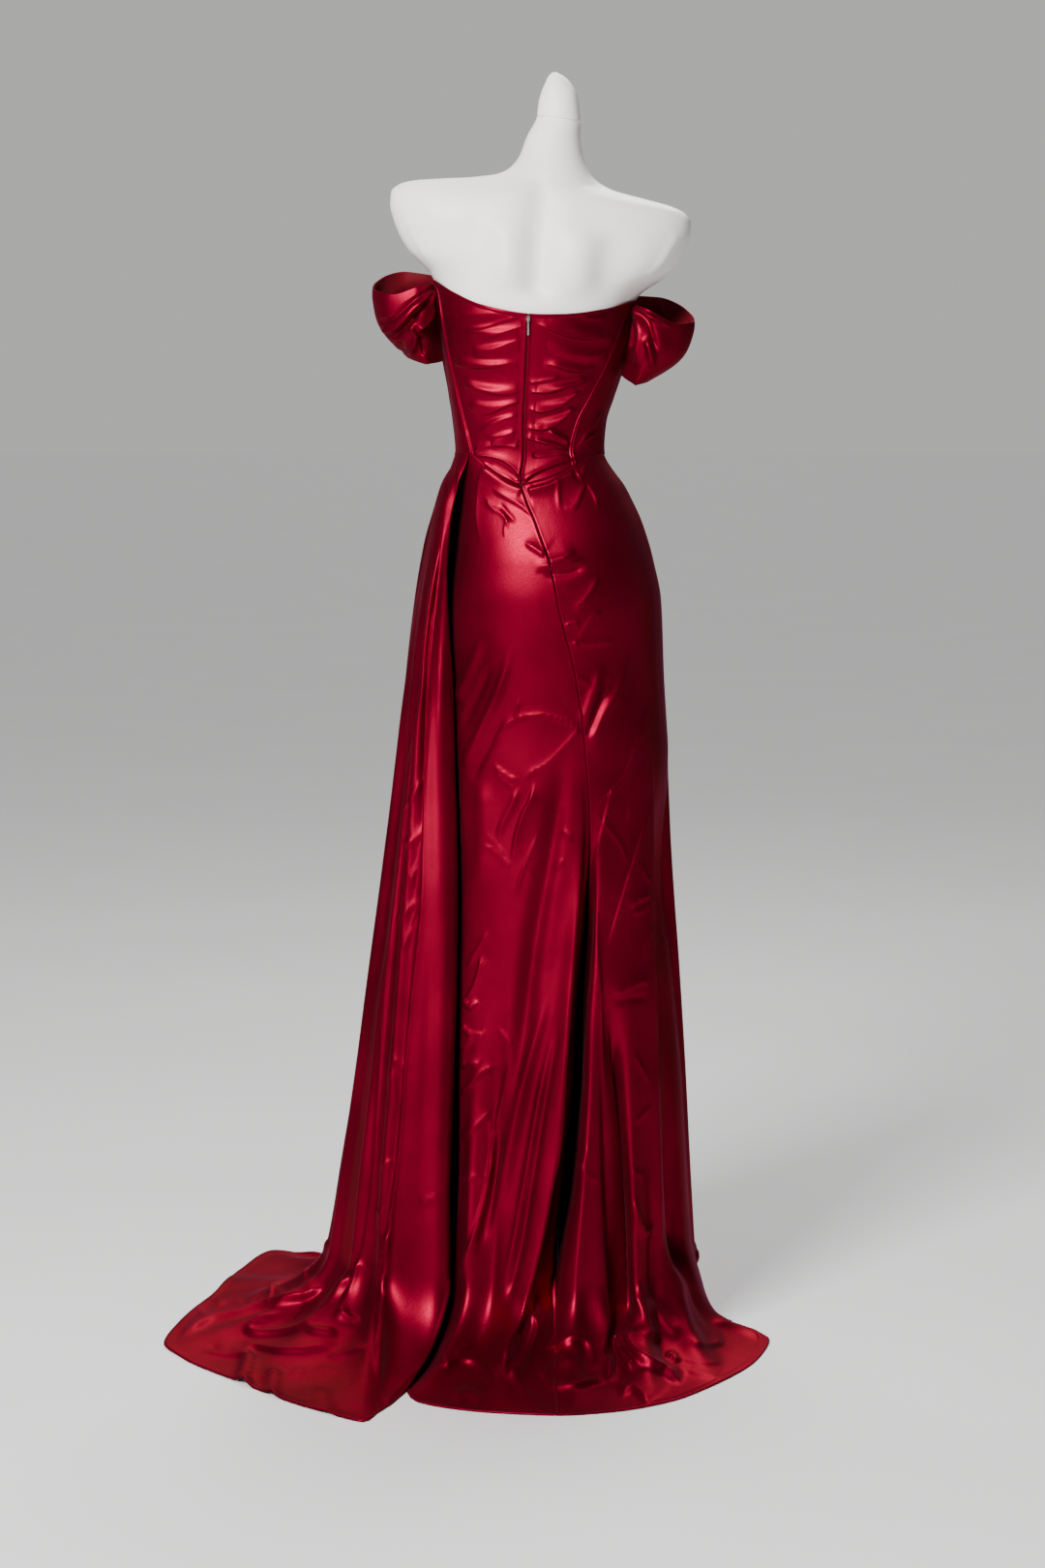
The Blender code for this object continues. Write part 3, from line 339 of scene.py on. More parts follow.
LEFT_DRAGS = (
    DragFold(49.0, 1.377, 10.0, 1.392, 0.000, 0.0026),
    DragFold(44.0, 1.360, 8.0, 1.366, -0.002, 0.0034),
    DragFold(40.0, 1.336, 7.0, 1.350, -0.003, 0.0042),
    DragFold(58.0, 1.322, 8.0, 1.322, -0.002, 0.0038),
    DragFold(52.0, 1.298, 8.0, 1.292, -0.008, 0.0044),
    DragFold(48.0, 1.270, 8.0, 1.275, -0.006, 0.0040),
    DragFold(38.0, 1.236, 8.0, 1.257, 0.000, 0.0036),
    DragFold(30.0, 1.222, 10.0, 1.235, -0.002, 0.0028),
)
RIGHT_DRAGS = (
    DragFold(-8.0, 1.386, -58.0, 1.372, -0.006, 0.0028),
    DragFold(-8.0, 1.352, -52.0, 1.350, -0.008, 0.0040),
    DragFold(-6.0, 1.328, -38.0, 1.322, 0.000, 0.0026),
    DragFold(-4.0, 1.296, -44.0, 1.312, -0.006, 0.0044),
    DragFold(-4.0, 1.272, -40.0, 1.296, -0.006, 0.0040),
    DragFold(-4.0, 1.248, -38.0, 1.272, -0.006, 0.0040),
    DragFold(-10.0, 1.240, -30.0, 1.222, 0.002, 0.0030),
    DragFold(-4.0, 1.224, -28.0, 1.212, 0.000, 0.0028),
)


class Curve:
    """A smooth curve without overshoot through rows of (place, values...)."""

    def __init__(self, rows: Sequence[Sequence[float]]) -> None:
        """Work out the slopes.

        Args:
            rows: One row for each place, with the values there.
        """
        table = np.array(rows, dtype=float)
        self.place = table[:, 0]
        self.value = table[:, 1:]
        step = np.diff(self.place)[:, None]
        slope = np.diff(self.value, axis=0) / step
        tangent = np.zeros_like(self.value)
        tangent[0], tangent[-1] = slope[0], slope[-1]
        before, after = slope[:-1], slope[1:]
        same = before * after > 0
        weight_a = 2 * step[1:] + step[:-1]
        weight_b = step[1:] + 2 * step[:-1]
        safe_before = np.where(same, before, 1.0)
        safe_after = np.where(same, after, 1.0)
        mean = (weight_a + weight_b) / (weight_a / safe_before + weight_b / safe_after)
        tangent[1:-1] = np.where(same, mean, 0.0)
        self.tangent = tangent

    def at(self, place: Array | float) -> Array:
        """The values at each place, held level beyond the ends.

        Args:
            place: Where to read the curve.

        Returns:
            The values, with one more axis than the places.
        """
        place = np.clip(np.asarray(place, dtype=float), self.place[0], self.place[-1])
        index = np.clip(np.searchsorted(self.place, place, side="right") - 1, 0, len(self.place) - 2)
        width = (self.place[index + 1] - self.place[index])[..., None]
        t = (place - self.place[index])[..., None] / width
        a, b = self.value[index], self.value[index + 1]
        ta, tb = self.tangent[index] * width, self.tangent[index + 1] * width
        return ((2 * t**3 - 3 * t**2 + 1) * a + (t**3 - 2 * t**2 + t) * ta
                + (3 * t**2 - 2 * t**3) * b + (t**3 - t**2) * tb)

    def one(self, place: Array | float) -> Array:
        """The first value at each place."""
        return self.at(place)[..., 0]


FORM_CURVE = Curve(FORM)


def grown_form_row(height: float, swell: float) -> Section:
    """A form section grown evenly by the depth of the cloth.

    Args:
        height: The level to read.
        swell: How far the outline grows.

    Returns:
        The grown section.
    """
    x, y, half, front, back, power, tilt = FORM_CURVE.at(height)
    return Section(height, x, y, half + swell, front + swell, back + swell, power, tilt)


SKIRT_CURVE = Curve(SKIRT_LOWER + tuple(
    grown_form_row(height, CLOTH_OUT + HIP_EASE * min(max((WAIST - height) / HIP_EASE_DEPTH, 0.0), 1.0))
    for height in (1.150, 1.166, 1.178, 1.190, 1.201, 1.212, 1.230)))
DRAPE_CURVE = Curve(DRAPE)
TOP_CURVE = Curve(TOP_EDGE)
BACK_SEAM_CURVE = Curve(BACK_SEAM)
SEAM_LEFT_CURVE = Curve(SEAM_LEFT)
SEAM_RIGHT_CURVE = Curve(SEAM_RIGHT)
SKIRT_SEAM_CURVE = Curve(SKIRT_SEAM)
TUCK_EDGE_CURVE = Curve(TUCK_EDGE)
TUCK_DEPTH_CURVE = Curve(TUCK_DEPTH)
DRAPE_EDGE_CURVE = Curve(DRAPE_EDGE)
DRAPE_CURL_CURVE = Curve(DRAPE_CURL)
VALLEY_CURVE = Curve(SEAM_VALLEY)
HEM_CURVE = Curve(HEM)
TRAIN_CURVE = Curve(TRAIN_HEM)
SLEEVE_TOP_CURVE = Curve(SLEEVE_TOP)
SLEEVE_BOTTOM_CURVE = Curve(SLEEVE_BOTTOM)


def smooth(t: Array | float) -> Array:
    """A soft step from 0 to 1."""
    t = np.clip(t, 0.0, 1.0)
    return t * t * (3 - 2 * t)


def bump(distance: Array, width: float) -> Array:
    """A rounded ridge of height 1."""
    return np.exp(-(distance / width) ** 2)


def wrapped(angle: Array) -> Array:
    """An angle brought between -180 and 180 degrees."""
    return (angle + 180.0) % 360.0 - 180.0


def section_point(curve: Curve, angle: Array, height: Array, swell: Array | float = 0.0) -> Array:
    """Points of a level outline.

    Args:
        curve: The sections by height.
        angle: Angles round the body in degrees.
        height: Heights in metres.
        swell: How far the outline is grown.

    Returns:
        The points, with a last axis of three.
    """
    x, y, half, front, back, power, tilt = np.moveaxis(curve.at(height), -1, 0)
    sine, cosine = np.sin(np.radians(angle)), np.cos(np.radians(angle))
    depth = np.where(cosine >= 0, back, front)
    across = np.sign(sine) * np.abs(sine) ** (2 / power) * (half + swell)
    along = np.sign(cosine) * np.abs(cosine) ** (2 / power) * (depth + swell)
    return np.stack((x + across, y + along, height + tilt * across), axis=-1)


def waist_height(angle: Array) -> Array:
    """Height of the waist seam, which dips in a V at the back."""
    reach = np.where(angle > WAIST_V_ANGLE, WAIST_V_LEFT, WAIST_V_RIGHT)
    square = np.clip(1.0 - np.abs(angle - WAIST_V_ANGLE) / reach, 0.0, None) ** 2
    return WAIST - WAIST_V_DROP * (1 + WAIST_V_BEND) * square / (square + WAIST_V_BEND)


def drag_lift(folds: Sequence[DragFold], angle: Array, height: Array) -> Array:
    """How far the creases across a back panel lift its surface.

    Args:
        folds: The creases.
        angle: Angles round the body.
        height: Heights.

    Returns:
        The lift at each place.
    """
    lift = np.zeros(np.broadcast(angle, height).shape)
    for fold in folds:
        share = np.clip((angle - fold.angle_a) / (fold.angle_b - fold.angle_a), 0.0, 1.0)
        middle = fold.height_a + (fold.height_b - fold.height_a) * share
        middle = middle + fold.sag * 4 * share * (1 - share)
        lift += fold.lift * np.sin(np.pi * share) ** 0.7 * bump(height - middle, DRAG_WIDTH)
    return lift * smooth((height - waist_height(angle)) / WAIST_CALM - 0.2)


def front_share(angle: Array) -> Array:
    """0 on the back half, rising to 1 across the front."""
    return smooth((np.abs(angle) - FRONT_START) / FRONT_BLEND)


def front_ease(angle: Array, height: Array) -> Array:
    """Extra room between form and cloth across the front."""
    return front_share(angle) * (FRONT_EASE + SKIRT_EASE * smooth((WAIST - height) / SKIRT_EASE_DEPTH))


def bodice_point(angle: Array, height: Array) -> Array:
    """The bodice's outer surface."""
    angle = wrapped(angle)
    left = drag_lift(LEFT_DRAGS, angle, height)
    right = drag_lift(RIGHT_DRAGS, angle, height)
    drags = np.where(angle > BACK_SEAM_CURVE.one(height), left, right)
    swell = CLOTH_OUT + FRONT_EASE * front_share(angle) + drags
    return section_point(FORM_CURVE, angle, height, swell)


def fold_swell(folds: Sequence[Fold], angle: Array, height: Array, radius: Array) -> Array:
    """The sum of the long folds.

    Args:
        folds: The folds.
        angle: Angles round the body.
        height: Heights.
        radius: The skirt's half width at those heights.

    Returns:
        The swell at each place.
    """
    total = np.zeros(np.broadcast(angle, height).shape)
    for fold in folds:
        share = smooth((fold.start - height) / FOLD_BLEND)
        line = fold.angle_top + (fold.angle_foot - fold.angle_top) * (1 - height / fold.start)
        gap = np.radians(wrapped(angle - line)) * radius
        total += fold.depth * share * bump(gap, fold.width)
    return total


def skirt_swell(angle: Array, height: Array) -> Array:
    """Folds, the deep valley along the back seam, and the tuck under the drape."""
    radius = SKIRT_CURVE.at(height)[..., 2]
    total = fold_swell(SKIRT_FOLDS, angle, height, radius)
    gap = np.radians(angle - SKIRT_SEAM_CURVE.one(height)) * radius
    total = total - VALLEY_CURVE.one(height) * bump(gap, SEAM_VALLEY_WIDTH)
    past = angle - TUCK_EDGE_CURVE.one(height)
    tuck = smooth(past / TUCK_BLEND) * smooth((TUCK_FRONT - angle) / TUCK_FRONT_BLEND)
    return total + front_ease(angle, height) - TUCK_DEPTH_CURVE.one(height) * tuck


def drape_swell(angle: Array, height: Array) -> Array:
    """Long folds of the side drape and the turned-in back edge."""
    radius = DRAPE_CURVE.at(height)[..., 2]
    total = fold_swell(DRAPE_FOLDS, angle, height, radius)
    gap = np.radians(angle - DRAPE_EDGE_CURVE.one(height)) * radius
    curl = DRAPE_CURL_CURVE.one(height) * np.exp(-np.clip(gap, 0.0, None) / CURL_REACH)
    return total + front_ease(angle, height) - curl


def floor_ripple(folds: Sequence[Fold], angle: Array, share: Array) -> Array:
    """How high the ridges stand where a skirt lies on the floor."""
    total = np.zeros(np.broadcast(angle, share).shape)
    for fold in folds:
        if fold.depth > 0:
            total += fold.depth * bump(wrapped(angle - fold.angle_foot), RIPPLE_ANGLE)
    return RIPPLE_SCALE * total * np.clip(4 * share * (1 - share), 0.0, None) ** 1.5


def fall_point(curve: Curve, hem_curve: Curve, folds: Sequence[Fold],
               swell: Surface, angle: Array, height: Array) -> Array:
    """A skirt's outer surface: it hangs, then turns and lies on the floor.

    Args:
        curve: The hanging sections.
        hem_curve: The hem's place on the floor by angle.
        folds: The folds that run out on the floor.
        swell: The hanging surface's swell.
        angle: Angles round the body.
        height: Heights; below zero they run on along the floor to the hem at -1.

    Returns:
        The points.
    """
    hang_height = np.maximum(height, FLARE_START)
    hanging = section_point(curve, angle, hang_height, swell(angle, hang_height))
    level = np.full(np.shape(angle), FLARE_START)
    top = section_point(curve, angle, level, swell(angle, level))
    low = np.full(np.shape(angle), FOOT_LEVEL)
    foot = section_point(curve, angle, low, swell(angle, low))
    foot[..., 2] = CLOTH
    hem = np.concatenate((hem_curve.at(angle), np.full(np.shape(angle) + (1,), CLOTH)), axis=-1)
    t = np.clip((FLARE_START - height) / (FLARE_START + 1.0), 0.0, 1.0)[..., None]
    point = (1 - t) ** 2 * top + 2 * t * (1 - t) * foot + t ** 2 * hem
    point[..., 2] += floor_ripple(folds, angle, t[..., 0])
    return np.where((height >= FLARE_START)[..., None], hanging, point)


def skirt_point(angle: Array, height: Array) -> Array:
    """The main skirt's outer surface."""
    return fall_point(SKIRT_CURVE, HEM_CURVE, SKIRT_FOLDS, skirt_swell, wrapped(angle), height)


def drape_point(angle: Array, height: Array) -> Array:
    """The side drape's outer surface and its train."""
    return fall_point(DRAPE_CURVE, TRAIN_CURVE, DRAPE_FOLDS, drape_swell, angle, height)


def zip_line(height: Array) -> Array:
    """The angle of the zip, which runs on from the bodice into the skirt."""
    return np.where(height > ZIP_JOIN, BACK_SEAM_CURVE.one(height), SKIRT_SEAM_CURVE.one(height))


def zip_point(angle: Array, height: Array) -> Array:
    """The surface that carries the zip."""
    on_bodice = (height > waist_height(angle))[..., None]
    bodice = section_point(FORM_CURVE, angle, height, CLOTH_OUT)
    return np.where(on_bodice, bodice, skirt_point(angle, height))


def linked(name: str, data: bpy.types.ID) -> bpy.types.Object:
    """A new object at the origin, linked to the scene."""
    made = bpy.data.objects.new(name, data)
    bpy.context.scene.collection.objects.link(made)
    return made


def mesh_from(name: str, bm: bmesh.types.BMesh) -> bpy.types.Mesh:
    """A mesh made from a bmesh, which is freed."""
    mesh = bpy.data.meshes.new(name)
    bm.to_mesh(mesh)
    bm.free()
    return mesh


def declare(piece: bpy.types.Object, replaced: str) -> None:
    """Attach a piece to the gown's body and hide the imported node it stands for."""
    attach(piece, BODY)
    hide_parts(replaced)


def refinish(node: bpy.types.Object, material: bpy.types.Material) -> None:
    """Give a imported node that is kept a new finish."""
    for slot in node.material_slots:
        slot.material = material
    LOG.info("%s finished in %s", node.name, material.name)


def wall_inwards(piece: bpy.types.Object, thickness: float) -> bpy.types.SolidifyModifier:
    """Give a piece's outer face a wall behind it."""
    wall = piece.modifiers.new("wall", "SOLIDIFY")
    wall.thickness = thickness
    wall.offset = -1.0
    return wall


@dataclass(frozen=True)
class PhotoView:
    """The camera of the reference photograph."""

    place: tuple[float, float, float] = (0.04, 4.5, 1.3)
    tilt_down: float = 6.886
    focal_pixels: float = 3420.0
    width: int = 1080
    height: int = 1620
    sensor: float = 36.0
    pixels_per_metre: float = 760.0

    @property
    def lens(self) -> float:
        """The lens in millimetres on a sensor whose long side spans the picture."""
        return self.focal_pixels * self.sensor / self.height

    def pixels(self, points: Array) -> Array:
        """Where points fall in the picture.

        Args:
            points: Points in metres, with a last axis of three.

        Returns:
            Their pixel columns and rows.
        """
        tilt = math.radians(self.tilt_down)
        ahead = np.array((0.0, -math.cos(tilt), -math.sin(tilt)))
        above = np.array((0.0, -math.sin(tilt), math.cos(tilt)))
        offset = points - np.array(self.place)
        depth = offset @ ahead
        column = self.width / 2 - self.focal_pixels * offset[..., 0] / depth
        row = self.height / 2 - self.focal_pixels * (offset @ above) / depth
        return np.stack((column, row), axis=-1)

    def build(self) -> bpy.types.Object:
        """Make the camera and set it as the scene's.

        Returns:
            The camera object.
        """
        data = bpy.data.cameras.new("photo_camera")
        data.sensor_fit = "AUTO"
        data.sensor_width = self.sensor
        data.lens = self.lens
        camera = linked("photo_camera", data)
        camera.location = self.place
        camera.rotation_euler = (math.radians(90.0 - self.tilt_down), 0.0, math.pi)
        bpy.context.scene.camera = camera
        return camera


VIEW = PhotoView()


def rounded_path(path: Sequence[tuple[float, float]], cuts: int = 6) -> Array:
    """A path with its corners rounded through its points.

    Args:
        path: The corner points.
        cuts: The pieces made of each stretch.

    Returns:
        The finer path.
    """
    corners = np.array(path, dtype=float)
    if len(corners) == 2:
        return corners
    padded = np.vstack((2 * corners[0] - corners[1], corners, 2 * corners[-1] - corners[-2]))
    t = np.linspace(0.0, 1.0, cuts, endpoint=False)[:, None]
    parts = []
    for a, b, c, d in zip(padded, padded[1:], padded[2:], padded[3:]):
        parts.append(0.5 * (2 * b + (c - a) * t + (2 * a - 5 * b + 4 * c - d) * t**2
                            + (3 * b - a - 3 * c + d) * t**3))
    return np.vstack(parts + [corners[-1:]])


def crease_lift(crease: Crease, line: Array, places: Array, metre: float) -> Array:
    """How far one crease lifts the cloth.

    Args:
        crease: The crease.
        line: Its finer path.
        places: Flat places near it, in the path's units.
        metre: The length of one such unit.

    Returns:
        The lift at each place.
    """
    step = line[1:] - line[:-1]
    length = np.linalg.norm(step, axis=1)
    run = np.concatenate(([0.0], np.cumsum(length)))
    rest = places[:, None] - line[None, :-1]
    along = np.clip(np.sum(rest * step, axis=2) / length**2, 0.0, 1.0)
    offset = rest - along[..., None] * step
    best = np.linalg.norm(offset, axis=2).argmin(axis=1)
    rows = np.arange(len(places))
    offset, along, step, length = offset[rows, best], along[rows, best], step[best], length[best]
    distance = np.linalg.norm(offset, axis=1) * metre
    share = (run[best] + along * length) / run[-1]
    fade = smooth(share / max(crease.fade_in, 1e-3)) * smooth((1 - share) / max(crease.fade_out, 1e-3))
    ratio = distance / crease.width
    if crease.kind is FoldKind.ROLL:
        shape = np.exp(-ratio**2)
    elif crease.kind is FoldKind.PINCH:
        shape = np.exp(-ratio * PINCH_FALL)
    else:
        steep = step[:, 0] * offset[:, 1] - step[:, 1] * offset[:, 0] > 0
        shape = np.where(steep, np.exp(-(ratio / LIP_STEEP) ** 2), np.exp(-ratio / LIP_SLOPE))
    return crease.lift * fade * shape


def relief(table: Sequence[Crease], places: Array, metre: float) -> Array:
    """How far a set of creases lifts the cloth.

    Args:
        table: The creases.
        places: Flat places, with a last axis of two.
        metre: The length of one unit of the places.

    Returns:
        The lift at each place.
    """
    flat = places.reshape(-1, 2)
    total = np.zeros(len(flat))
    for crease in table:
        line = rounded_path(crease.path)
        reach = CREASE_REACH * crease.width / metre
        inside = (flat > line.min(axis=0) - reach) & (flat < line.max(axis=0) + reach)
        near = np.flatnonzero(inside.all(axis=1))
        if len(near):
            total[near] += crease_lift(crease, line, flat[near], metre)
    return total.reshape(places.shape[:-1])


def grid_normals(points: Array) -> Array:
    """The outward normals of a grid of points.

    Args:
        points: Rows from the lower edge up, columns from the picture's left.

    Returns:
        One unit normal for each point.
    """
    normal = np.cross(np.gradient(points, axis=1), np.gradient(points, axis=0))
    return normal / np.maximum(np.linalg.norm(normal, axis=2, keepdims=True), 1e-12)


def run_lengths(points: Array, axis: int) -> Array:
    """Distance walked along one direction of a grid of points, from its first row or column."""
    step = np.linalg.norm(np.diff(points, axis=axis), axis=2)
    start = np.zeros_like(np.take(step, [0], axis=axis))
    return np.concatenate((start, np.cumsum(step, axis=axis)), axis=axis)


WRAP_RADIUS = 0.15

BODICE_SEEN = creases((
    ((480, 340, 501, 338, 519, 332, 539, 327), 17, 34, LIP, 0.3, 0.2),
    ((494, 352, 510, 347, 528, 341, 543, 337), 16, 34, LIP, 0.3, 0.1),
    ((498, 366, 514, 359, 528, 354, 541, 352), 12, 44, LIP, 0.4, 0.2),
    ((468, 376, 488, 379, 510, 378, 531, 375), 19, 36, LIP, 0.1, 0.2),
    ((478, 399, 493, 402, 510, 406, 525, 407, 541, 403), 19, 32, LIP, 0.1, 0.1),
    ((483, 418, 495, 428, 508, 426, 521, 420, 540, 414), 21, 34, LIP, 0.1, 0.1),
    ((493, 450, 506, 440, 521, 433, 538, 430), 15, 34, LIP, 0.2, 0.2),
    ((499, 453, 518, 450, 536, 446), 16, 42, LIP, 0.3, 0.2),
    ((489, 468, 501, 462, 519, 460, 537, 463), 25, 40, LIP, 0.1, 0.1),
    ((488, 470, 501, 471, 519, 475, 532, 485, 539, 496), 37, 34, LIP, 0.1, 0.0),
    ((500, 477, 512, 480, 525, 488, 536, 497), -29, 26, ROLL, 0.2, 0.1),
    ((552, 333, 571, 341, 588, 347, 610, 350, 626, 346), 38, 34, LIP, 0.2, 0.1),
    ((598, 328, 614, 330, 630, 328), 20, 34, LIP),
    ((560, 376, 575, 378, 588, 382, 603, 383, 616, 379), 35, 36, LIP, 0.3, 0.1),
    ((546, 396, 564, 393, 582, 390), 26, 34, LIP, 0.1, 0.3),
    ((546, 405, 564, 405, 584, 400, 606, 391), 38, 36, LIP, 0.1, 0.1),
    ((545, 422, 560, 425, 580, 418, 600, 404), 38, 34, LIP, 0.1, 0.1),
    ((543, 442, 562, 443, 580, 434, 594, 421), 35, 34, LIP, 0.1, 0.1),
    ((566, 445, 575, 450, 584, 455, 586, 461), 38, 28, PINCH, 0.2, 0.2),
    ((543, 452, 560, 457, 575, 461, 586, 466), 41, 34, LIP, 0.1, 0.1),
    ((549, 471, 562, 469, 576, 467, 587, 467), -49, 30, ROLL, 0.2, 0.2),
    ((541, 498, 551, 490, 566, 483, 597, 471), 52, 34, LIP, 0.05, 0.2),
    ((466, 400, 472, 425, 478, 455), 12, 45),
    ((598, 460, 606, 447, 614, 436, 620, 424), 38, 34, PINCH),
    ((594, 464, 604, 455, 616, 447), 32, 28, PINCH),
    ((470, 420, 478, 436, 484, 452), -10, 40),
))
BODICE_WRAP = creases((
    ((100, 1.25, 118, 1.262, 140, 1.252), 22, 50, LIP),
    ((102, 1.29, 122, 1.297, 144, 1.283), 18, 45),
    ((104, 1.225, 126, 1.232, 146, 1.222), 24, 45, LIP),
    ((-98, 1.243, -120, 1.251, -142, 1.238), 22, 50, LIP),
    ((-100, 1.276, -118, 1.288, -143, 1.279), 18, 50),
    ((-96, 1.219, -116, 1.226, -138, 1.221), 22, 40, LIP),
    ((155, 1.238, 172, 1.245, 196, 1.236), 20, 50),
    ((157, 1.272, 178, 1.268, 203, 1.280), 16, 55),
    ((160, 1.221, 185, 1.226, 206, 1.219), 22, 42, LIP),
    ((106, 1.345, 124, 1.372, 140, 1.384), 16, 70),
    ((-108, 1.352, -128, 1.371, -141, 1.390), 16, 70),
))

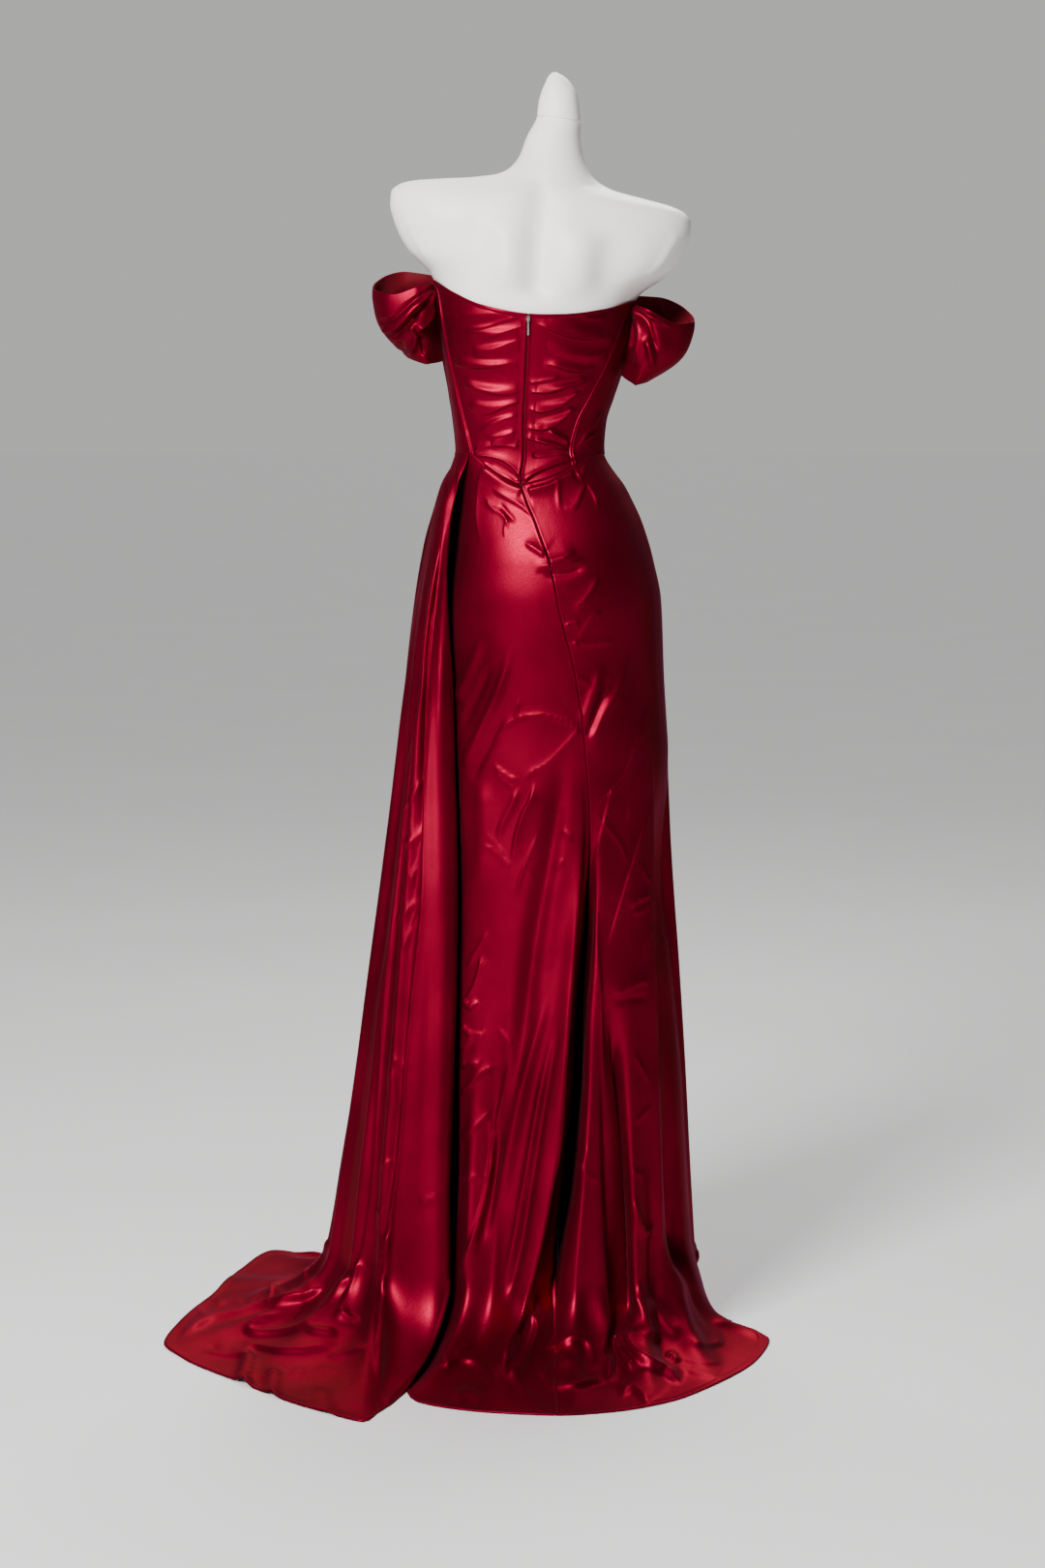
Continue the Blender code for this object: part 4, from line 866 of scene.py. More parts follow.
SKIRT_SEEN = creases((
    ((541, 505, 527, 497, 514, 489, 500, 480), 62, 44, LIP, 0.05, 0.12),
    ((594, 486, 580, 493, 566, 501, 545, 507), 62, 44, LIP, 0.12, 0.05),
    ((497, 474, 512, 482, 526, 490, 538, 498), -50, 30, ROLL, 0.1, 0.1),
    ((592, 479, 576, 486, 560, 494, 547, 501), -50, 30, ROLL, 0.1, 0.1),
    ((520, 1424, 527, 1390, 541, 1355, 557, 1286, 568, 1229, 577, 1180, 585, 1081, 593, 974, 601, 867,
      601, 800), 110, 65, LIP, 0.04, 0.3),
    ((623, 1412, 627, 1344, 629, 1252, 628, 1160, 622, 1082, 618, 1001, 615, 894), 100, 60, LIP, 0.05,
      0.4),
    ((609, 840, 606, 947, 600, 1028, 594, 1110, 588, 1170, 578, 1252, 561, 1332, 552, 1385), -150, 85,
      ROLL, 0.25, 0.1),
    ((630, 1010, 636, 1090, 639, 1180, 640, 1260, 641, 1340, 642, 1380), -300, 145, ROLL, 0.35, 0.1),
    ((684, 1310, 682, 1180, 679, 1060, 676, 900, 673, 730), 70, 65, LIP, 0.1, 0.3),
    ((688, 760, 692, 900, 697, 1080, 703, 1230, 708, 1330), -260, 190, ROLL, 0.3, 0.1),
    ((586, 760, 572, 860, 554, 960, 541, 1060, 530, 1150), -80, 125, ROLL, 0.3, 0.3),
    ((497, 800, 500, 860, 496, 920), 40, 130),
    ((548, 1210, 538, 1280, 524, 1350), -45, 60, ROLL, 0.3, 0.2),
    ((500, 479, 495, 500, 493, 525, 494, 548, 498, 566), 22, 30, LIP, 0.05, 0.4),
    ((595, 485, 600, 493, 606, 478), 28, 26, PINCH),
    ((580, 525, 594, 524, 600, 512, 606, 498), 30, 32, LIP, 0.4, 0.15),
    ((607, 500, 613, 510, 620, 528), 26, 26, PINCH, 0.1, 0.4),
    ((577, 495, 577, 512, 579, 530), 14, 30, ROLL, 0.2, 0.5),
    ((507, 505, 520, 512, 540, 524, 551, 535), 26, 46, LIP),
    ((500, 512, 508, 524, 520, 532, 528, 548), 20, 35, PINCH),
    ((516, 520, 524, 530, 534, 540), -16, 32),
    ((526, 532, 522, 545, 521, 556), 14, 22, PINCH),
    ((540, 560, 550, 566, 562, 574), 40, 50, LIP, 0.4, 0.05),
    ((568, 581, 580, 578, 597, 569), 42, 40, LIP, 0.02, 0.4),
    ((551, 591, 562, 586, 580, 584, 607, 578), 58, 50, LIP, 0.3, 0.35),
    ((560, 592, 585, 592, 606, 584), -30, 50),
    ((590, 632, 600, 626, 610, 613, 621, 594), 32, 36, LIP),
    ((596, 663, 604, 652, 612, 641, 624, 631), 30, 28, LIP),
    ((582, 650, 590, 645, 600, 644), 34, 28, PINCH),
    ((586, 666, 596, 664, 606, 665, 620, 664, 640, 662), 22, 26, PINCH),
    ((587, 668, 592, 668, 598, 664), 30, 30, PINCH),
    ((593, 700, 602, 703, 612, 708), 22, 26, PINCH),
    ((616, 727, 624, 717, 634, 712), 22, 30, LIP),
    ((602, 750, 612, 720, 624, 684), 44, 70, ROLL, 0.15, 0.4),
    ((606, 780, 622, 742, 638, 716, 652, 668), 40, 70, ROLL, 0.2, 0.4),
    ((606, 765, 616, 738, 630, 700), -36, 60),
    ((470, 728, 482, 700, 492, 676, 500, 655), 44, 62, ROLL, 0.15, 0.4),
    ((478, 795, 498, 752, 512, 722, 522, 694, 528, 664), 54, 64, ROLL, 0.15, 0.4),
    ((474, 760, 492, 722, 508, 686), -36, 60),
    ((485, 810, 505, 770, 522, 740), -34, 60),
    ((508, 770, 518, 755, 532, 745, 546, 741, 561, 740, 580, 745, 600, 752), 26, 28, LIP, 0.15, 0.05),
    ((533, 744, 534, 733, 537, 722), 16, 26, PINCH),
    ((539, 808, 548, 800, 566, 790, 584, 772, 600, 754), 26, 28, LIP, 0.2, 0.05),
    ((508, 789, 516, 796, 526, 803, 538, 809), 26, 26, PINCH),
    ((511, 797, 520, 806, 534, 816), 20, 26, PINCH),
    ((554, 806, 548, 826, 540, 842, 533, 866, 529, 892), 48, 46, LIP),
    ((536, 812, 530, 830, 520, 850, 514, 870), 28, 48),
    ((558, 858, 548, 882, 540, 900, 532, 930), 24, 28, PINCH),
    ((498, 872, 512, 880, 524, 892, 531, 894), 22, 30, PINCH),
    ((502, 860, 514, 874, 522, 886), 16, 26, PINCH),
    ((540, 894, 548, 904, 552, 910), 16, 24, PINCH),
    ((580, 858, 586, 862, 592, 867), 20, 30, PINCH),
    ((574, 900, 578, 893, 584, 888), 16, 26, PINCH),
    ((670, 728, 658, 765, 646, 800, 628, 822, 610, 842), 24, 28, LIP),
    ((667, 776, 662, 800, 652, 832, 643, 860), 22, 26, PINCH),
    ((634, 810, 628, 832, 622, 858, 614, 892), 24, 28, LIP),
    ((674, 822, 664, 858, 654, 892, 640, 938, 624, 994), 26, 28, LIP),
    ((650, 938, 660, 930, 675, 924), 32, 34, LIP),
    ((652, 944, 664, 940, 674, 934), 20, 26, PINCH),
    ((674, 953, 668, 972, 663, 992), 22, 28, LIP),
    ((661, 892, 667, 904, 673, 914), 22, 26, PINCH),
    ((612, 838, 620, 846, 640, 870, 650, 895), 18, 28, PINCH),
    ((632, 1030, 650, 1021, 662, 1016, 674, 1015), 38, 36, LIP),
    ((634, 1036, 652, 1032, 670, 1030), -24, 34),
    ((654, 1086, 662, 1102, 672, 1120), 24, 28, PINCH),
    ((655, 1160, 664, 1152, 673, 1142), 22, 28, PINCH),
    ((650, 1222, 658, 1212, 667, 1218), 22, 30, PINCH),
    ((655, 1238, 660, 1262, 667, 1275, 674, 1262), 42, 50),
    ((477, 1034, 486, 1040, 496, 1036), 44, 40, LIP, 0.05, 0.3),
    ((477, 1046, 488, 1040, 497, 1037), 30, 26, PINCH, 0.05, 0.3),
    ((477, 1060, 486, 1068, 498, 1070, 501, 1062), 30, 30, PINCH, 0.05, 0.3),
    ((477, 1084, 484, 1078, 490, 1070), 36, 34, LIP, 0.05, 0.3),
    ((477, 1100, 487, 1100, 497, 1104), 42, 34, LIP, 0.05, 0.3),
    ((477, 1130, 488, 1120, 498, 1109, 518, 1101), 34, 32, LIP, 0.05, 0.3),
    ((513, 1062, 522, 1072, 531, 1084), 24, 32, PINCH),
    ((478, 1175, 490, 1166, 504, 1153, 508, 1146), 30, 36, LIP, 0.05, 0.3),
    ((506, 1156, 508, 1172, 508, 1190), 22, 28, PINCH),
    ((479, 1220, 492, 1218, 503, 1217, 512, 1192), 26, 34, LIP, 0.05, 0.3),
    ((498, 985, 494, 1005, 488, 1022, 478, 1034), 30, 36, LIP),
    ((505, 960, 497, 975, 482, 1000), 24, 30, PINCH),
    ((570, 1010, 560, 1050, 543, 1112, 523, 1208, 504, 1305), 52, 80, ROLL, 0.3, 0.2),
    ((582, 1040, 562, 1145, 542, 1272, 524, 1352), -32, 50),
    ((574, 1060, 556, 1145, 536, 1262, 520, 1340), 40, 50, ROLL, 0.3, 0.2),
    ((528, 1090, 512, 1170, 503, 1226, 490, 1274, 472, 1330), 44, 58, LIP, 0.3, 0.1),
    ((520, 1160, 508, 1240, 492, 1300), -40, 60),
    ((610, 1180, 600, 1210, 592, 1222), 22, 40, PINCH),
    ((598, 1200, 606, 1212, 620, 1222), 18, 30, PINCH),
    ((590, 1240, 586, 1300, 578, 1350), 22, 60),
    ((604, 1010, 606, 1060, 600, 1120), 16, 50),
    ((696, 1150, 702, 1240, 712, 1330), -60, 90, ROLL, 0.4, 0.2),
    ((648, 1372, 652, 1390, 664, 1406, 684, 1418, 706, 1430), 126, 85, LIP, 0.15, 0.2),
    ((632, 1380, 640, 1396, 650, 1410, 656, 1420), 98, 93, LIP, 0.12, 0.2),
    ((628, 1400, 629, 1416, 627, 1430), 58, 70, PINCH),
    ((560, 1394, 574, 1394, 590, 1384, 600, 1383, 608, 1392, 611, 1404, 609, 1420), 66, 93, LIP, 0.15,
      0.2),
    ((556, 1414, 566, 1426, 574, 1434, 592, 1432, 612, 1428, 628, 1428), 58, 78, LIP, 0.1, 0.2),
    ((570, 1425, 580, 1410, 596, 1404), 38, 78),
    ((552, 1352, 554, 1372, 546, 1396, 534, 1414, 522, 1424), 90, 85, LIP, 0.15, 0.1),
    ((536, 1372, 532, 1392, 524, 1410), 49, 62, PINCH),
    ((456, 1412, 474, 1406, 490, 1408, 504, 1416, 520, 1426), 58, 95, LIP, 0.1, 0.2),
    ((470, 1402, 480, 1394, 488, 1388), 28, 62, PINCH),
    ((466, 1448, 480, 1440, 492, 1443, 502, 1451), 41, 93),
    ((640, 1444, 652, 1434, 662, 1440, 672, 1452), 58, 93, LIP),
    ((686, 1408, 694, 1402, 700, 1412), 66, 62, PINCH),
    ((700, 1412, 716, 1418, 734, 1422, 748, 1426), 23, 56, LIP),
    ((698, 1404, 720, 1408, 748, 1409), 17, 62, LIP),
    ((734, 1364, 756, 1370, 778, 1378, 788, 1386), 49, 93, LIP),
    ((712, 1386, 732, 1390, 750, 1386), 32, 78, LIP),
    ((792, 1388, 780, 1404, 762, 1424, 740, 1438), -17, 47, ROLL, 0.1, 0.3),
    ((650, 1330, 662, 1352, 674, 1392), 66, 78, LIP),
    ((668, 1340, 688, 1366, 706, 1384), 55, 95),
))
SKIRT_WRAP = creases((
    ((112, 1.19, 110, 1.02, 107, 0.80, 106, 0.50, 104, 0.12), 60, 120, ROLL, 0.1, 0.2),
    ((168, 1.19, 171, 1.00, 170, 0.72, 175, 0.40, 173, 0.10), 50, 110, ROLL, 0.1, 0.2),
    ((190, 1.19, 192, 0.95, 197, 0.60, 195, 0.30, 200, 0.08), 70, 120, ROLL, 0.1, 0.2),
    ((181, 1.10, 184, 0.80, 186, 0.45, 185, 0.14), -60, 100, ROLL, 0.3, 0.2),
    ((222, 1.18, 226, 0.90, 223, 0.55, 228, 0.20), 60, 130, ROLL, 0.1, 0.2),
    ((246, 1.10, 249, 0.70, 246, 0.35, 250, 0.10), -60, 120, ROLL, 0.3, 0.2),
    ((232, 0.92, 214, 0.80, 203, 0.66), 26, 36, LIP),
    ((160, 0.95, 178, 0.86, 190, 0.72), 24, 34, LIP),
    ((206, 0.62, 220, 0.52, 240, 0.47), 26, 34, PINCH),
    ((168, 0.50, 184, 0.42, 205, 0.38), 26, 36, LIP),
    ((180, 1.06, 196, 1.02, 214, 1.05), 26, 46, LIP),
    ((215, 0.30, 230, 0.24, 252, 0.25), 30, 40, LIP),
    ((170, 0.24, 190, 0.18, 208, 0.20), 32, 42, PINCH),
    ((150, 0.12, 176, 0.07, 204, 0.10, 226, 0.06), 60, 80, LIP),
    ((236, 0.14, 250, 0.06, 262, -0.10), 60, 80, LIP),
))

DRAPE_SEEN = creases((
    ((469, 474, 464, 505, 454, 562, 444, 650, 439, 760, 437, 880), -60, 36, ROLL, 0.04, 0.3),
    ((471, 472, 468, 500, 458, 560, 448, 650, 443, 760, 441, 880, 438, 950, 427, 1048, 414, 1194, 402,
      1275, 390, 1390, 394, 1440), 100, 56, LIP, 0.06, 0.05),
    ((477, 474, 473, 520, 463, 590, 457, 680, 455, 800), 30, 40, LIP, 0.05, 0.5),
    ((462, 520, 452, 580, 445, 650), -40, 40),
    ((455, 880, 452, 1040, 448, 1200, 444, 1340), -16, 100, ROLL, 0.3, 0.3),
    ((448, 640, 430, 760, 418, 860, 408, 940, 398, 1040, 392, 1145, 387, 1226, 376, 1291, 352, 1342),
      70, 60, LIP, 0.3, 0.15),
    ((425, 720, 412, 830, 400, 930, 388, 1040), -40, 70),
    ((443, 793, 432, 815, 422, 836, 417, 866), 24, 28, PINCH),
    ((418, 866, 424, 872, 434, 864, 442, 854), 30, 36, LIP),
    ((439, 886, 432, 896, 426, 908, 430, 916), 24, 30, PINCH),
    ((437, 928, 424, 938, 410, 955), 24, 28, PINCH),
    ((434, 940, 426, 960, 414, 985), 20, 28, PINCH),
    ((428, 760, 424, 780, 420, 800), 20, 30, PINCH),
    ((402, 1096, 410, 1098, 420, 1110), 34, 34, LIP),
    ((403, 1100, 407, 1125, 412, 1150), 20, 30, PINCH),
    ((396, 1200, 402, 1203, 408, 1198), 36, 32, PINCH),
    ((389, 1256, 396, 1252, 402, 1250), 32, 30, PINCH),
    ((388, 1264, 395, 1262, 401, 1256), 24, 26, PINCH),
    ((392, 1300, 397, 1290, 400, 1272), 50, 50),
    ((432, 1245, 442, 1240, 456, 1238), 16, 40),
    ((398, 1452, 412, 1436, 432, 1416, 452, 1398), 24, 60, LIP, 0.1, 0.2),
    ((182, 1382, 200, 1374, 220, 1364, 248, 1358, 272, 1350, 300, 1342, 320, 1338, 338, 1328), 97, 80,
      LIP, 0.15, 0.1),
    ((296, 1354, 268, 1364, 257, 1374, 264, 1380, 286, 1380, 306, 1376, 322, 1366, 338, 1350, 352,
      1332, 366, 1312), 89, 70, LIP, 0.15, 0.1),
    ((372, 1300, 366, 1322, 356, 1346, 344, 1368), 65, 60, LIP, 0.1, 0.2),
    ((208, 1397, 232, 1400, 252, 1400, 262, 1392, 286, 1396, 312, 1396, 334, 1393, 352, 1390), 65, 70,
      LIP, 0.15, 0.15),
    ((216, 1388, 226, 1396, 246, 1398), -32, 50),
    ((316, 1372, 330, 1376, 350, 1378), 57, 60),
    ((352, 1352, 360, 1362, 372, 1368), 49, 50),
    ((338, 1406, 352, 1400, 366, 1396, 380, 1390), 41, 50, LIP),
    ((304, 1424, 308, 1418, 316, 1414), 30, 40, PINCH),
    ((324, 1420, 334, 1416, 342, 1412), 30, 40, PINCH),
    ((260, 1396, 256, 1410, 252, 1424, 250, 1440), 97, 75, ROLL, 0.2, 0.0),
    ((284, 1412, 282, 1430, 280, 1448), 73, 65, ROLL, 0.2, 0.0),
    ((262, 1420, 266, 1432, 270, 1446), -24, 60, ROLL, 0.2, 0.0),
    ((330, 1432, 334, 1448, 338, 1462), 41, 60, ROLL, 0.2, 0.0),
    ((262, 1330, 270, 1328, 282, 1334, 292, 1332), 24, 30, PINCH),
    ((256, 1352, 264, 1342, 274, 1336, 280, 1330), 22, 30, PINCH),
    ((284, 1334, 292, 1338, 294, 1344), 22, 30, PINCH),
    ((318, 1304, 322, 1308, 326, 1313), 26, 34, PINCH),
    ((218, 1338, 224, 1346, 232, 1352), 32, 40, PINCH),
    ((200, 1352, 208, 1358, 212, 1366), 32, 40, PINCH),
    ((246, 1318, 252, 1322, 256, 1320), 34, 36, PINCH),
    ((222, 1350, 240, 1344, 252, 1352), 19, 40),
))
DRAPE_WRAP = creases((
    ((104, 1.18, 101, 0.90, 95, 0.55, 88, 0.20), 70, 110, ROLL, 0.1, 0.2),
    ((120, 1.18, 122, 0.85, 118, 0.50, 112, 0.15), -60, 100, ROLL, 0.2, 0.2),
    ((136, 1.18, 134, 0.80, 138, 0.45, 132, 0.10), 70, 110, ROLL, 0.1, 0.2),
    ((150, 1.17, 149, 0.75, 152, 0.35, 148, 0.00), 60, 90, ROLL, 0.1, 0.2),
    ((128, 0.96, 116, 0.88, 104, 0.78), 28, 36, LIP),
    ((100, 0.70, 114, 0.62, 130, 0.58), 26, 36, PINCH),
    ((140, 0.66, 128, 0.52, 110, 0.44), 30, 38, LIP),
    ((104, 0.34, 122, 0.28, 142, 0.30), 34, 40, LIP),
    ((96, 0.10, 112, 0.02, 132, 0.00, 148, -0.20), 100, 100, LIP),
    ((100, -0.25, 118, -0.35, 138, -0.32), 70, 110, LIP),
    ((92, -0.55, 106, -0.60, 126, -0.62), 60, 100),
    ((146, -0.50, 140, -0.75, 136, -1.00), 80, 110, ROLL, 0.2, 0.0),
    ((108, -0.60, 106, -0.80, 104, -1.00), 90, 120, ROLL, 0.2, 0.0),
))

SLEEVE_LEFT_SEEN = creases((
    ((391, 334, 405, 330, 420, 317, 434, 306, 449, 296), -55, 36, ROLL, 0.1, 0.1),
    ((393, 340, 404, 341, 413, 337, 424, 325, 437, 309, 450, 297), 75, 58, LIP, 0.1, 0.15),
    ((404, 352, 414, 343, 424, 332, 436, 316), -50, 45, ROLL, 0.2, 0.2),
    ((451, 297, 441, 308, 434, 321, 428, 333), -60, 36, ROLL, 0.1, 0.2),
    ((431, 343, 441, 333, 445, 323, 444, 311, 451, 297), 80, 48, LIP, 0.1, 0.15),
    ((427, 331, 426, 341, 430, 348, 427, 361, 421, 371), 60, 38, ROLL, 0.2, 0.3),
    ((434, 346, 438, 358, 436, 370), -50, 60, ROLL, 0.3, 0.3),
    ((412, 350, 415, 360, 416, 368), -40, 50, ROLL, 0.3, 0.3),
))
SLEEVE_RIGHT_SEEN = creases((
    ((647, 311, 664, 317, 682, 326, 696, 333, 714, 332), -45, 36, ROLL, 0.1, 0.2),
    ((648, 313, 664, 322, 680, 332, 696, 338), 70, 50, LIP, 0.1, 0.3),
    ((649, 314, 659, 326, 663, 342, 661, 360, 657, 382), 80, 42, ROLL, 0.1, 0.3),
    ((653, 318, 667, 332, 675, 350, 679, 370), -65, 50, ROLL, 0.2, 0.3),
    ((668, 346, 672, 362, 674, 384), 60, 50, ROLL, 0.3, 0.3),
    ((650, 326, 653, 346, 650, 366), -55, 50, ROLL, 0.3, 0.3),
    ((684, 318, 692, 326, 697, 333), 50, 45, ROLL),
    ((686, 300, 692, 306, 698, 316), 40, 60),
))
SLEEVE_WRAP = creases((
    ((1.0, 0.10, 0.84, 0.24, 0.70, 0.46, 0.58, 0.62), 80, 90, ROLL, 0.15, 0.3),
    ((1.0, 0.30, 0.88, 0.52, 0.80, 0.80, 0.76, 1.00), 80, 80, ROLL, 0.15, 0.1),
    ((1.0, 0.20, 0.86, 0.40, 0.72, 0.74, 0.66, 1.00), -60, 80, ROLL, 0.2, 0.2),
    ((0.60, 0.00, 0.56, 0.40, 0.60, 0.80, 0.57, 1.00), 50, 110, ROLL, 0.2, 0.1),
))

FORM_SEEN = creases((
    ((563, 168, 560, 205, 557, 250, 552, 330), -130, 210, ROLL, 0.3, 0.2),
    ((516, 214, 522, 240, 524, 275, 520, 312), 73, 240, ROLL, 0.35, 0.4),
    ((606, 226, 600, 252, 598, 285, 604, 316), 78, 240, ROLL, 0.35, 0.4),
    ((470, 214, 492, 238, 500, 270, 496, 306), -47, 260, ROLL, 0.35, 0.4),
    ((652, 236, 636, 260, 630, 286, 634, 308), -51, 260, ROLL, 0.35, 0.4),
    ((699, 236, 690, 258, 678, 276, 664, 292), 26, 45, LIP, 0.2, 0.4),
    ((418, 222, 428, 246, 440, 266, 450, 282), 22, 45, LIP, 0.2, 0.4),
))


class NodeBoard:
    """Adds shader nodes to a material and joins them."""

    def __init__(self, name: str) -> None:
        """Make the material with its main shader.

        Args:
            name: The material's name.
        """
        self.material = bpy.data.materials.new(name)
        self.material.use_nodes = True
        self.tree = self.material.node_tree
        self.shader = self.tree.nodes["Principled BSDF"]

    def fix(self, values: dict[str, object]) -> None:
        """Set constants on the main shader's sockets."""
        for name, value in values.items():
            self.shader.inputs[name].default_value = value

    def add(self, kind: str, inputs: dict[str, object] | None = None,
            **settings: object) -> bpy.types.Node:
        """Add a node.

        Args:
            kind: The node's type name.
            inputs: Values for its sockets.
            settings: Values for its properties.

        Returns:
            The node.
        """
        node = self.tree.nodes.new(kind)
        for key, value in settings.items():
            setattr(node, key, value)
        for key, value in (inputs or {}).items():
            node.inputs[key].default_value = value
        return node

    def join(self, source: bpy.types.NodeSocket, target: bpy.types.NodeSocket) -> None:
        """Join one socket to another."""
        self.tree.links.new(source, target)

    def noise(self, coordinate: str, scale: float, detail: float = 2.0,
              stretch: Tone = (1.0, 1.0, 1.0)) -> bpy.types.NodeSocket:
        """Noise over the object's own space or the cloth's map.

        Args:
            coordinate: "Object" or "UV".
            scale: How fine the noise is, in cells a metre.
            detail: Its octaves.
            stretch: How the space is scaled first.

        Returns:
            The noise's value socket.
        """
        place = self.add("ShaderNodeTexCoord")
        mapping = self.add("ShaderNodeMapping", {"Scale": stretch})
        noise = self.add("ShaderNodeTexNoise", {"Scale": scale, "Detail": detail})
        self.join(place.outputs[coordinate], mapping.inputs["Vector"])
        self.join(mapping.outputs["Vector"], noise.inputs["Vector"])
        return noise.outputs["Fac"]

    def spread(self, source: bpy.types.NodeSocket, low: float, high: float,
               start: float = 0.3, end: float = 0.7) -> bpy.types.NodeSocket:
        """Map a value between two ends.

        Args:
            source: The value's socket.
            low: The result at the start.
            high: The result at the end.
            start: The lowest value.
            end: The highest value.

        Returns:
            The mapped value's socket.
        """
        ends = {"From Min": start, "From Max": end, "To Min": low, "To Max": high}
        node = self.add("ShaderNodeMapRange", ends)
        self.join(source, node.inputs["Value"])
        return node.outputs["Result"]

    def tint(self, share: bpy.types.NodeSocket, first: Tone, last: Tone) -> None:
        """Blend two colours into the main shader's base colour.

        Args:
            share: How much of the last colour shows.
            first: The colour at 0.
            last: The colour at 1.
        """
        ramp = self.add("ShaderNodeValToRGB")
        for element, position, tone in zip(ramp.color_ramp.elements, (0.3, 0.7), (first, last)):
            element.position = position
            element.color = (*tone, 1.0)
        self.join(share, ramp.inputs["Fac"])
        self.join(ramp.outputs["Color"], self.shader.inputs["Base Color"])

    def relief(self, layers: Sequence[tuple[bpy.types.NodeSocket, float, float]]) -> None:
        """Stack bump layers on the main shader's normal.

        Args:
            layers: Height socket, strength and depth in metres of each layer.
        """
        below = None
        for height, strength, depth in layers:
            node = self.add("ShaderNodeBump", {"Strength": strength, "Distance": depth})
            self.join(height, node.inputs["Height"])
            if below is not None:
                self.join(below, node.inputs["Normal"])
            below = node.outputs["Normal"]
        self.join(below, self.shader.inputs["Normal"])


@dataclass(frozen=True)
class SatinFinish:
    """Heavy red satin's smooth face with a fine weave; ReverseFinish makes its duller reverse."""

    name: str = "red_satin"
    deep: Tone = (0.100, 0.0005, 0.0080)
    bright: Tone = (0.190, 0.0014, 0.0165)
    metallic: float = 0.88
    specular: float = 0.12
    edge_tint: Tint = (0.42, 0.12, 0.40, 1.0)
    along_thread: float = 0.25
    smoothest: float = 0.40
    roughest: float = 0.52
    sheen: float = 0.05
    sheen_roughness: float = 0.45
    sheen_tint: Tint = (1.0, 0.25, 0.35, 1.0)
    thread: float = 0.0005
    threads_to_scale: float = 0.314
    mottle_scale: float = 7.0
    grain_scale: float = 900.0
    slub_scale: float = 380.0
    hand_scale: float = 16.0

    def build(self) -> bpy.types.Material:
        """Make the material."""
        board = NodeBoard(self.name)
        board.fix({"Metallic": self.metallic, "Specular IOR Level": self.specular,
                   "Specular Tint": self.edge_tint, "Anisotropic": self.along_thread,
                   "Sheen Weight": self.sheen, "Sheen Roughness": self.sheen_roughness,
                   "Sheen Tint": self.sheen_tint})
        board.tint(board.noise("Object", self.mottle_scale, 4.0), self.deep, self.bright)
        grain = board.noise("Object", self.grain_scale, 2.0)
        roughness = board.spread(grain, self.smoothest, self.roughest)
        board.join(roughness, board.shader.inputs["Roughness"])
        place = board.add("ShaderNodeTexCoord")
        bands = {"Scale": self.threads_to_scale / self.thread, "Distortion": 1.5, "Detail": 1.0}
        weave = board.add("ShaderNodeTexWave", bands, bands_direction="X")
        board.join(place.outputs["UV"], weave.inputs["Vector"])
        hand = board.noise("Object", self.hand_scale, 3.0, (1.0, 1.0, 0.4))
        slub = board.noise("Object", self.slub_scale, 2.0)
        board.relief(((hand, 0.35, 0.0030), (slub, 0.22, 0.0006), (grain, 0.16, 0.0004),
                      (weave.outputs["Fac"], 0.05, 0.0001)))
        return board.material


@dataclass(frozen=True)
class ReverseFinish:
    """The satin's duller inner face."""

    name: str = "satin_reverse"
    deep: Tone = (0.085, 0.0006, 0.0050)
    bright: Tone = (0.140, 0.0011, 0.0090)
    roughness: float = 0.62
    sheen: float = 0.05
    specular: float = 0.15
    sheen_tint: Tint = (1.0, 0.3, 0.4, 1.0)
    mottle_scale: float = 9.0
    weave_scale: float = 1500.0

    def build(self) -> bpy.types.Material:
        """Make the material."""
        board = NodeBoard(self.name)
        board.fix({"Roughness": self.roughness, "Sheen Weight": self.sheen,
                   "Specular IOR Level": self.specular, "Sheen Tint": self.sheen_tint})
        board.tint(board.noise("Object", self.mottle_scale, 3.0), self.deep, self.bright)
        weave = board.noise("UV", self.weave_scale, 1.0, (1.0, 0.4, 1.0))
        board.relief(((weave, 0.2, 0.0004),))
        return board.material


@dataclass(frozen=True)
class ShellFinish:
    """The dress form's smooth white shell, a little uneven and warm."""

    name: str = "white_shell"
    shade: Tone = (0.800, 0.775, 0.735)
    light: Tone = (0.890, 0.870, 0.830)
    specular: float = 0.4
    smoothest: float = 0.40
    roughest: float = 0.52
    mottle_scale: float = 5.0
    wave_scale: float = 22.0
    fine_scale: float = 260.0

    def build(self) -> bpy.types.Material:
        """Make the material."""
        board = NodeBoard(self.name)
        board.fix({"Specular IOR Level": self.specular})
        board.tint(board.noise("Object", self.mottle_scale, 4.0), self.shade, self.light)
        fine = board.noise("Object", self.fine_scale, 3.0)
        roughness = board.spread(fine, self.smoothest, self.roughest)
        board.join(roughness, board.shader.inputs["Roughness"])
        wave = board.noise("Object", self.wave_scale, 2.0)
        board.relief(((wave, 0.10, 0.0020), (fine, 0.08, 0.0003)))
        return board.material


@dataclass(frozen=True)
class MetalFinish:
    """Brushed steel with the brush marks along one axis."""

    name: str
    tone: Tone = (0.55, 0.55, 0.57)
    stretch: Tone = (1.0, 1.0, 0.04)
    roughness: float = 0.30
    smoother: float = 0.06
    rougher: float = 0.08
    darkest: float = 0.8
    brush_scale: float = 700.0

    def build(self) -> bpy.types.Material:
        """Make the material."""
        board = NodeBoard(self.name)
        board.fix({"Metallic": 1.0})
        darker = tuple(value * self.darkest for value in self.tone)
        brush = board.noise("Object", self.brush_scale, 3.0, self.stretch)
        board.tint(brush, darker, self.tone)
        roughness = board.spread(brush, self.roughness - self.smoother, self.roughness + self.rougher)
        board.join(roughness, board.shader.inputs["Roughness"])
        board.relief(((brush, 0.15, 0.0002),))
        return board.material


